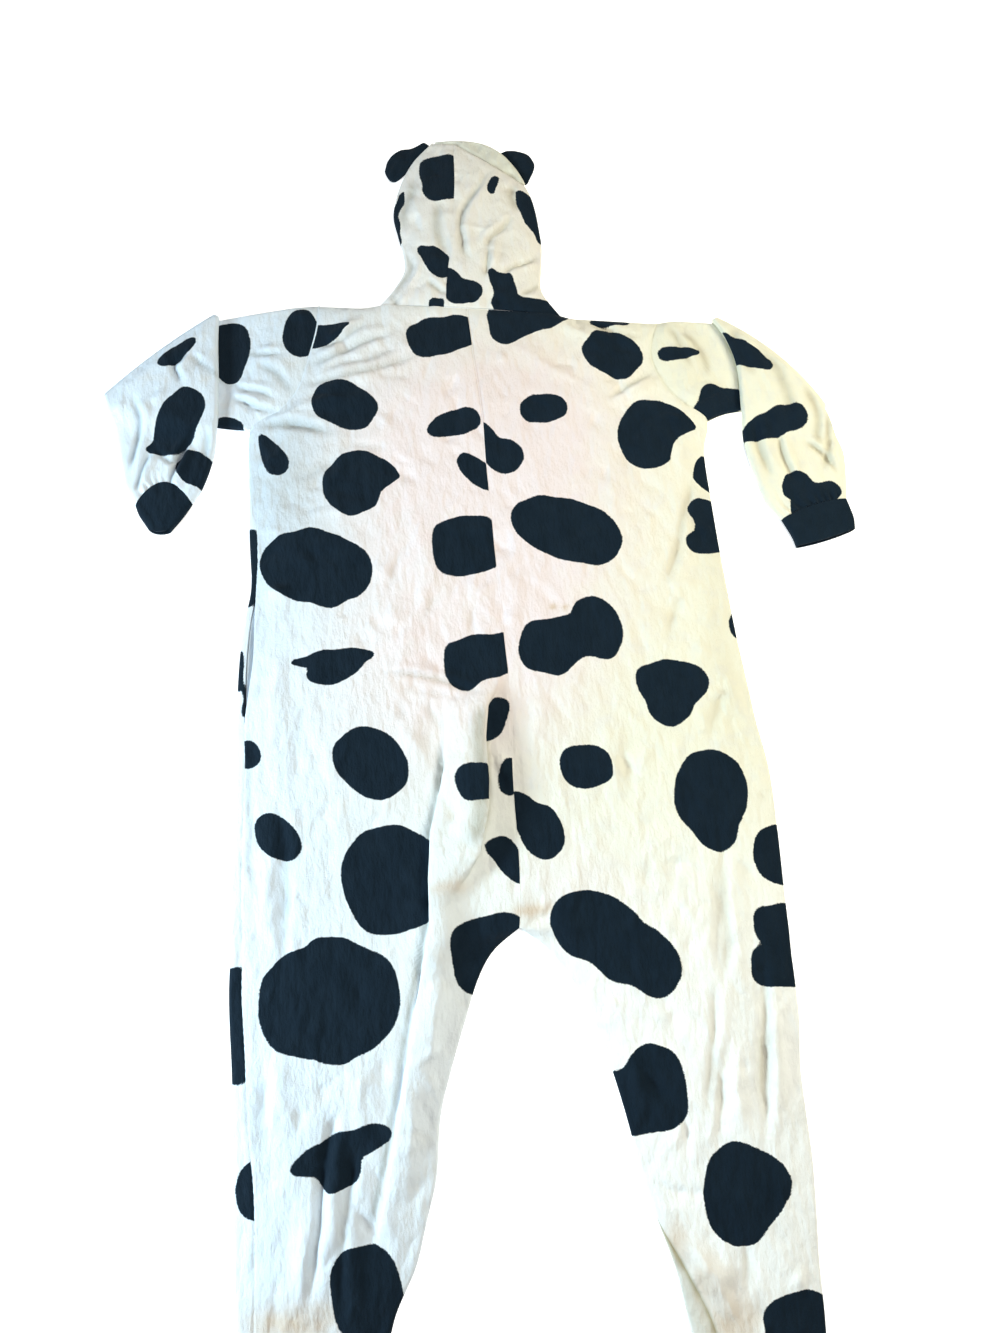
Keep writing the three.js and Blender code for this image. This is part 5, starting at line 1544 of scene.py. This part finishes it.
def closed_rings(name, rings, material):
    """Closed piece from rings of points, with strips across its first and its last ring."""
    count, sides = rings.shape[:2]
    faces = [grid_faces(count, sides, True)]
    for row, order in ((0, 1), (count - 1, -1)):
        ids = row * sides + np.arange(sides)
        high, low = ids[:sides // 2 + 1], ids[(-np.arange(sides // 2 + 1)) % sides]
        faces.append(np.stack([high[:-1], high[1:], low[1:], low[:-1]], axis=1)[:, ::order])
    return closed_mesh(name, rings.reshape(-1, 3), np.concatenate(faces), material)


def ear(side, table):
    """Closed pad: rings of an ellipse across the ear, whose height falls to its tip, with a
    hollow along the middle and a flat seam line round the edge."""
    t = np.linspace(0, len(table) - 1, 44)
    rows = read(table, t)
    t = t[:, None]
    turn = np.linspace(0, 2 * pi, 49)[:-1]
    a, b = pair(rows, 0), pair(rows, 1)
    share = (1 - np.cos(turn)) / 2
    tip = np.sqrt(np.clip(1 - (t / t[-1])**5, 0, 1))
    bow = rows[:, 4:5] * 4 * share * (1 - share)
    plan = a[:, None] + (b - a)[:, None] * share[None, :, None] + away(rows, -1)[:, None] * bow[..., None]
    rounded = np.abs(np.sin(turn))**0.7 * np.sign(np.sin(turn))
    height = EAR_HEIGHT * (0.42 + 0.58 * smooth(t / 1.2)) * tip
    hollow = 1 - 0.22 * np.exp(-((share - 0.5) / 0.16)**2) * smooth(1.2 - t / 3)
    z = height * 0.5 * (1 + rounded * np.where(rounded > 0, hollow, 1.0))
    z += 0.5 * wobble(plan[..., 0] * 3, plan[..., 1] * 3, 19) * (rounded > 0.6) * tip
    rings = np.concatenate([plan, np.maximum(z, 0)[..., None]], axis=-1)
    piece = closed_rings("ear_pad_" + side, rings, black_fleece)
    replace_solid(piece, "ear_" + side)


ear("left", LEFT_EAR)
ear("right", RIGHT_EAR)

# Buttons. Five flat white plastic buttons are sewn to the centre of the front, which lies
# underneath, and close its two halves.
BUTTON_RADIUS = 8
BUTTON_THICKNESS = 2.8
BUTTON_CLEAR = 0.4
BUTTON_SIDES = 48
# Profile from the middle of the face to the middle of the back: radius and height
BUTTON_PROFILE = np.array([
    [0.01, 1.0], [4.6, 1.0], [5.4, 0.55], [6.0, 0.1], [7.0, 0.0], [7.7, 0.4], [BUTTON_RADIUS, 1.3],
    [7.6, 2.2], [6.6, BUTTON_THICKNESS], [0.01, BUTTON_THICKNESS]])


def button_plastic():
    """Cloudy off-white plastic, with fine scratches."""
    material, tree, where = new_material("button_plastic")
    cloud = noise(tree, where, 90.0, 3.0)
    colour = blend_colour(tree, cloud, (0.80, 0.77, 0.70, 1), (0.86, 0.84, 0.79, 1))
    scratch = noise(tree, where, 500.0)
    finish_surface(tree, add_node(tree, "BsdfPrincipled", None, {
        "Base Color": colour, "Roughness": scratch * 0.2 + 0.35,
        "Normal": add_node(tree, "Bump", None, {"Strength": 0.1, "Distance": 0.0002, "Height": scratch})}))
    return material


def front_button(number, station, material):
    """Turned disc: the profile carried round the button's middle, with its face down."""
    middle = read(BODY, np.array([float(station)]))[0, 2:4]
    radius, height = BUTTON_PROFILE[:, :1], BUTTON_PROFILE[:, 1:]
    turn = np.linspace(0, 2 * pi, BUTTON_SIDES + 1)[:-1]
    rings = np.stack([middle[0] + radius * np.cos(turn), middle[1] + radius * np.sin(turn),
                      BUTTON_CLEAR + height + 0 * turn], axis=-1)
    piece = closed_rings("front_button_%d" % number, rings, material)
    replace_solid(piece, "button_%d" % number)


plastic = button_plastic()
for number, station in enumerate(BUTTON_STATIONS, 1):
    front_button(number, station, plastic)

bpy.context.view_layer.update()
